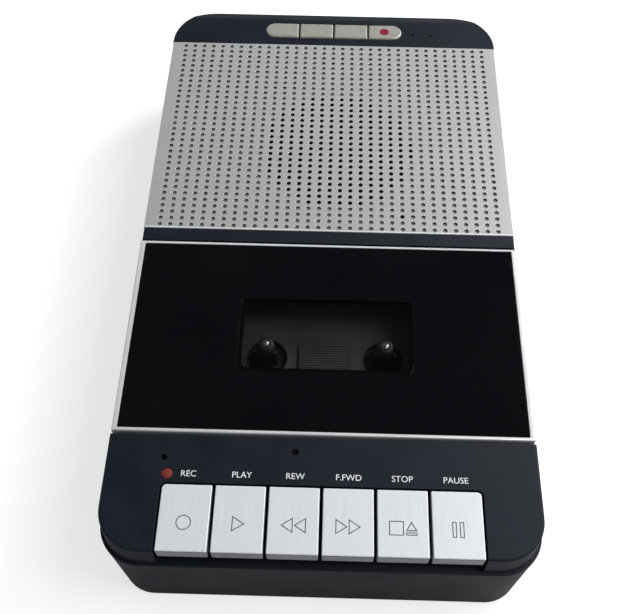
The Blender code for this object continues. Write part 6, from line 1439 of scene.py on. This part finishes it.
# Labels
def make_labels():
    """Printed words behind the keys, in plain capitals, each centred on its key."""
    for word, name, x in zip(LABELS, KEY_NAMES, KEY_CENTRES):
        title = name.replace("_key", "_label")
        curve = bpy.data.curves.new(title, "FONT")
        curve.body = word
        curve.size = LABEL_HIGH / CAPITAL_SHARE
        curve.align_x = "CENTER"
        curve.extrude = LABEL_THICK / 2
        curve.resolution_u = 6
        text = bpy.data.objects.new(title, curve)
        bpy.context.scene.collection.objects.link(text)
        bpy.context.view_layer.update()
        mesh = bpy.data.meshes.new_from_object(text.evaluated_get(bpy.context.evaluated_depsgraph_get()))
        bpy.data.objects.remove(text)
        bpy.data.curves.remove(curve)
        mesh.name = title
        label = bpy.data.objects.new(title, mesh)
        bpy.context.scene.collection.objects.link(label)
        mesh.transform(Matrix.Translation((x, LABEL_Y, CASE_TOP + LABEL_THICK / 2)))
        settle(label, slot="key_paint", finish="white_print", even=False)


# Camera, floor and light
def add_lamp(name, place, size, power):
    """A square lamp that points at the recorder."""
    light = bpy.data.lights.new(name, "AREA")
    light.shape = "RECTANGLE"
    light.size, light.size_y = size, size
    light.energy = power
    lamp = bpy.data.objects.new(name, light)
    bpy.context.scene.collection.objects.link(lamp)
    lamp.location = place
    lamp.rotation_mode = "QUATERNION"
    lamp.rotation_quaternion = (LAMP_TARGET - place).to_track_quat("-Z", "Y")


def make_camera():
    """The camera that took the photo, as its grid of holes gave it away."""
    camera = bpy.data.cameras.new("photo_camera")
    camera.sensor_width = SENSOR
    camera.lens = FOCAL_PIXELS * SENSOR / PHOTO_WIDTH
    camera.clip_start, camera.clip_end = CLIP
    eye = bpy.data.objects.new("photo_camera", camera)
    bpy.context.scene.collection.objects.link(eye)
    back = -LOOK.normalized()
    right = (ACROSS - ACROSS.project(back)).normalized()
    turn = Matrix((right, back.cross(right), back)).transposed().to_4x4()
    eye.matrix_world = Matrix.Translation(EYE) @ turn
    bpy.context.scene.camera = eye


def make_floor():
    """A pale floor that looks white to the camera and keeps the recorder's shadow."""
    bm = bmesh.new()
    bmesh.ops.create_grid(bm, x_segments=1, y_segments=1, size=FLOOR_SIZE)
    floor = raw_piece("floor", bm)
    material = bpy.data.materials.new("floor")
    material.use_nodes = True
    tree = material.node_tree
    shader = tree.nodes["Principled BSDF"]
    shader.inputs["Base Color"].default_value = (FLOOR_TONE, FLOOR_TONE, FLOOR_TONE, 1.0)
    shader.inputs["Roughness"].default_value = 0.9
    shader.inputs["Specular IOR Level"].default_value = 0.1
    plain = shader.outputs[0]
    glow = add_node(tree, "ShaderNodeEmission", Color=WHITE, Strength=FLOOR_GLOW).outputs[0]
    both = add_node(tree, "ShaderNodeAddShader", plain, glow).outputs[0]
    seen = add_node(tree, "ShaderNodeLightPath").outputs["Is Camera Ray"]
    mixed = add_node(tree, "ShaderNodeMixShader", seen, plain, both).outputs[0]
    tree.links.new(mixed, tree.nodes["Material Output"].inputs["Surface"])
    floor.data.materials.append(material)


def make_world():
    """Even light all round, which reflections show pale low down and dim overhead; the camera sees white."""
    world = bpy.data.worlds.new("studio")
    bpy.context.scene.world = world
    world.use_nodes = True
    tree = world.node_tree
    path = add_node(tree, "ShaderNodeLightPath").outputs
    facing = add_node(tree, "ShaderNodeTexCoord").outputs["Generated"]
    upward = add_node(tree, "ShaderNodeSeparateXYZ", facing).outputs["Z"]
    fade = spread(tree, upward, SKY_LOW, SKY_OVERHEAD, SKY_FADE)
    shown = add_node(tree, "ShaderNodeBackground", Color=SKY_TONE, Strength=SKY_PLAIN).outputs[0]
    for ray, colour, strength in (("Is Glossy Ray", SKY_TONE, fade), ("Is Camera Ray", WHITE, 1.0)):
        sky = add_node(tree, "ShaderNodeBackground", Color=colour, Strength=strength).outputs[0]
        shown = add_node(tree, "ShaderNodeMixShader", path[ray], shown, sky).outputs[0]
    tree.links.new(shown, tree.nodes["World Output"].inputs["Surface"])


make_upper_shell()
make_lower_shell()
make_speaker_plate()
make_lid()
make_keys()
make_rear_buttons()
make_small_parts()
make_well()
make_mechanism()
make_sockets()
make_microphone()
make_status_lenses()
make_volume_wheel()
make_labels()
make_camera()
make_floor()
make_world()
for lamp in LAMPS:
    add_lamp(*lamp)

bpy.context.scene.view_settings.view_transform = "Standard"
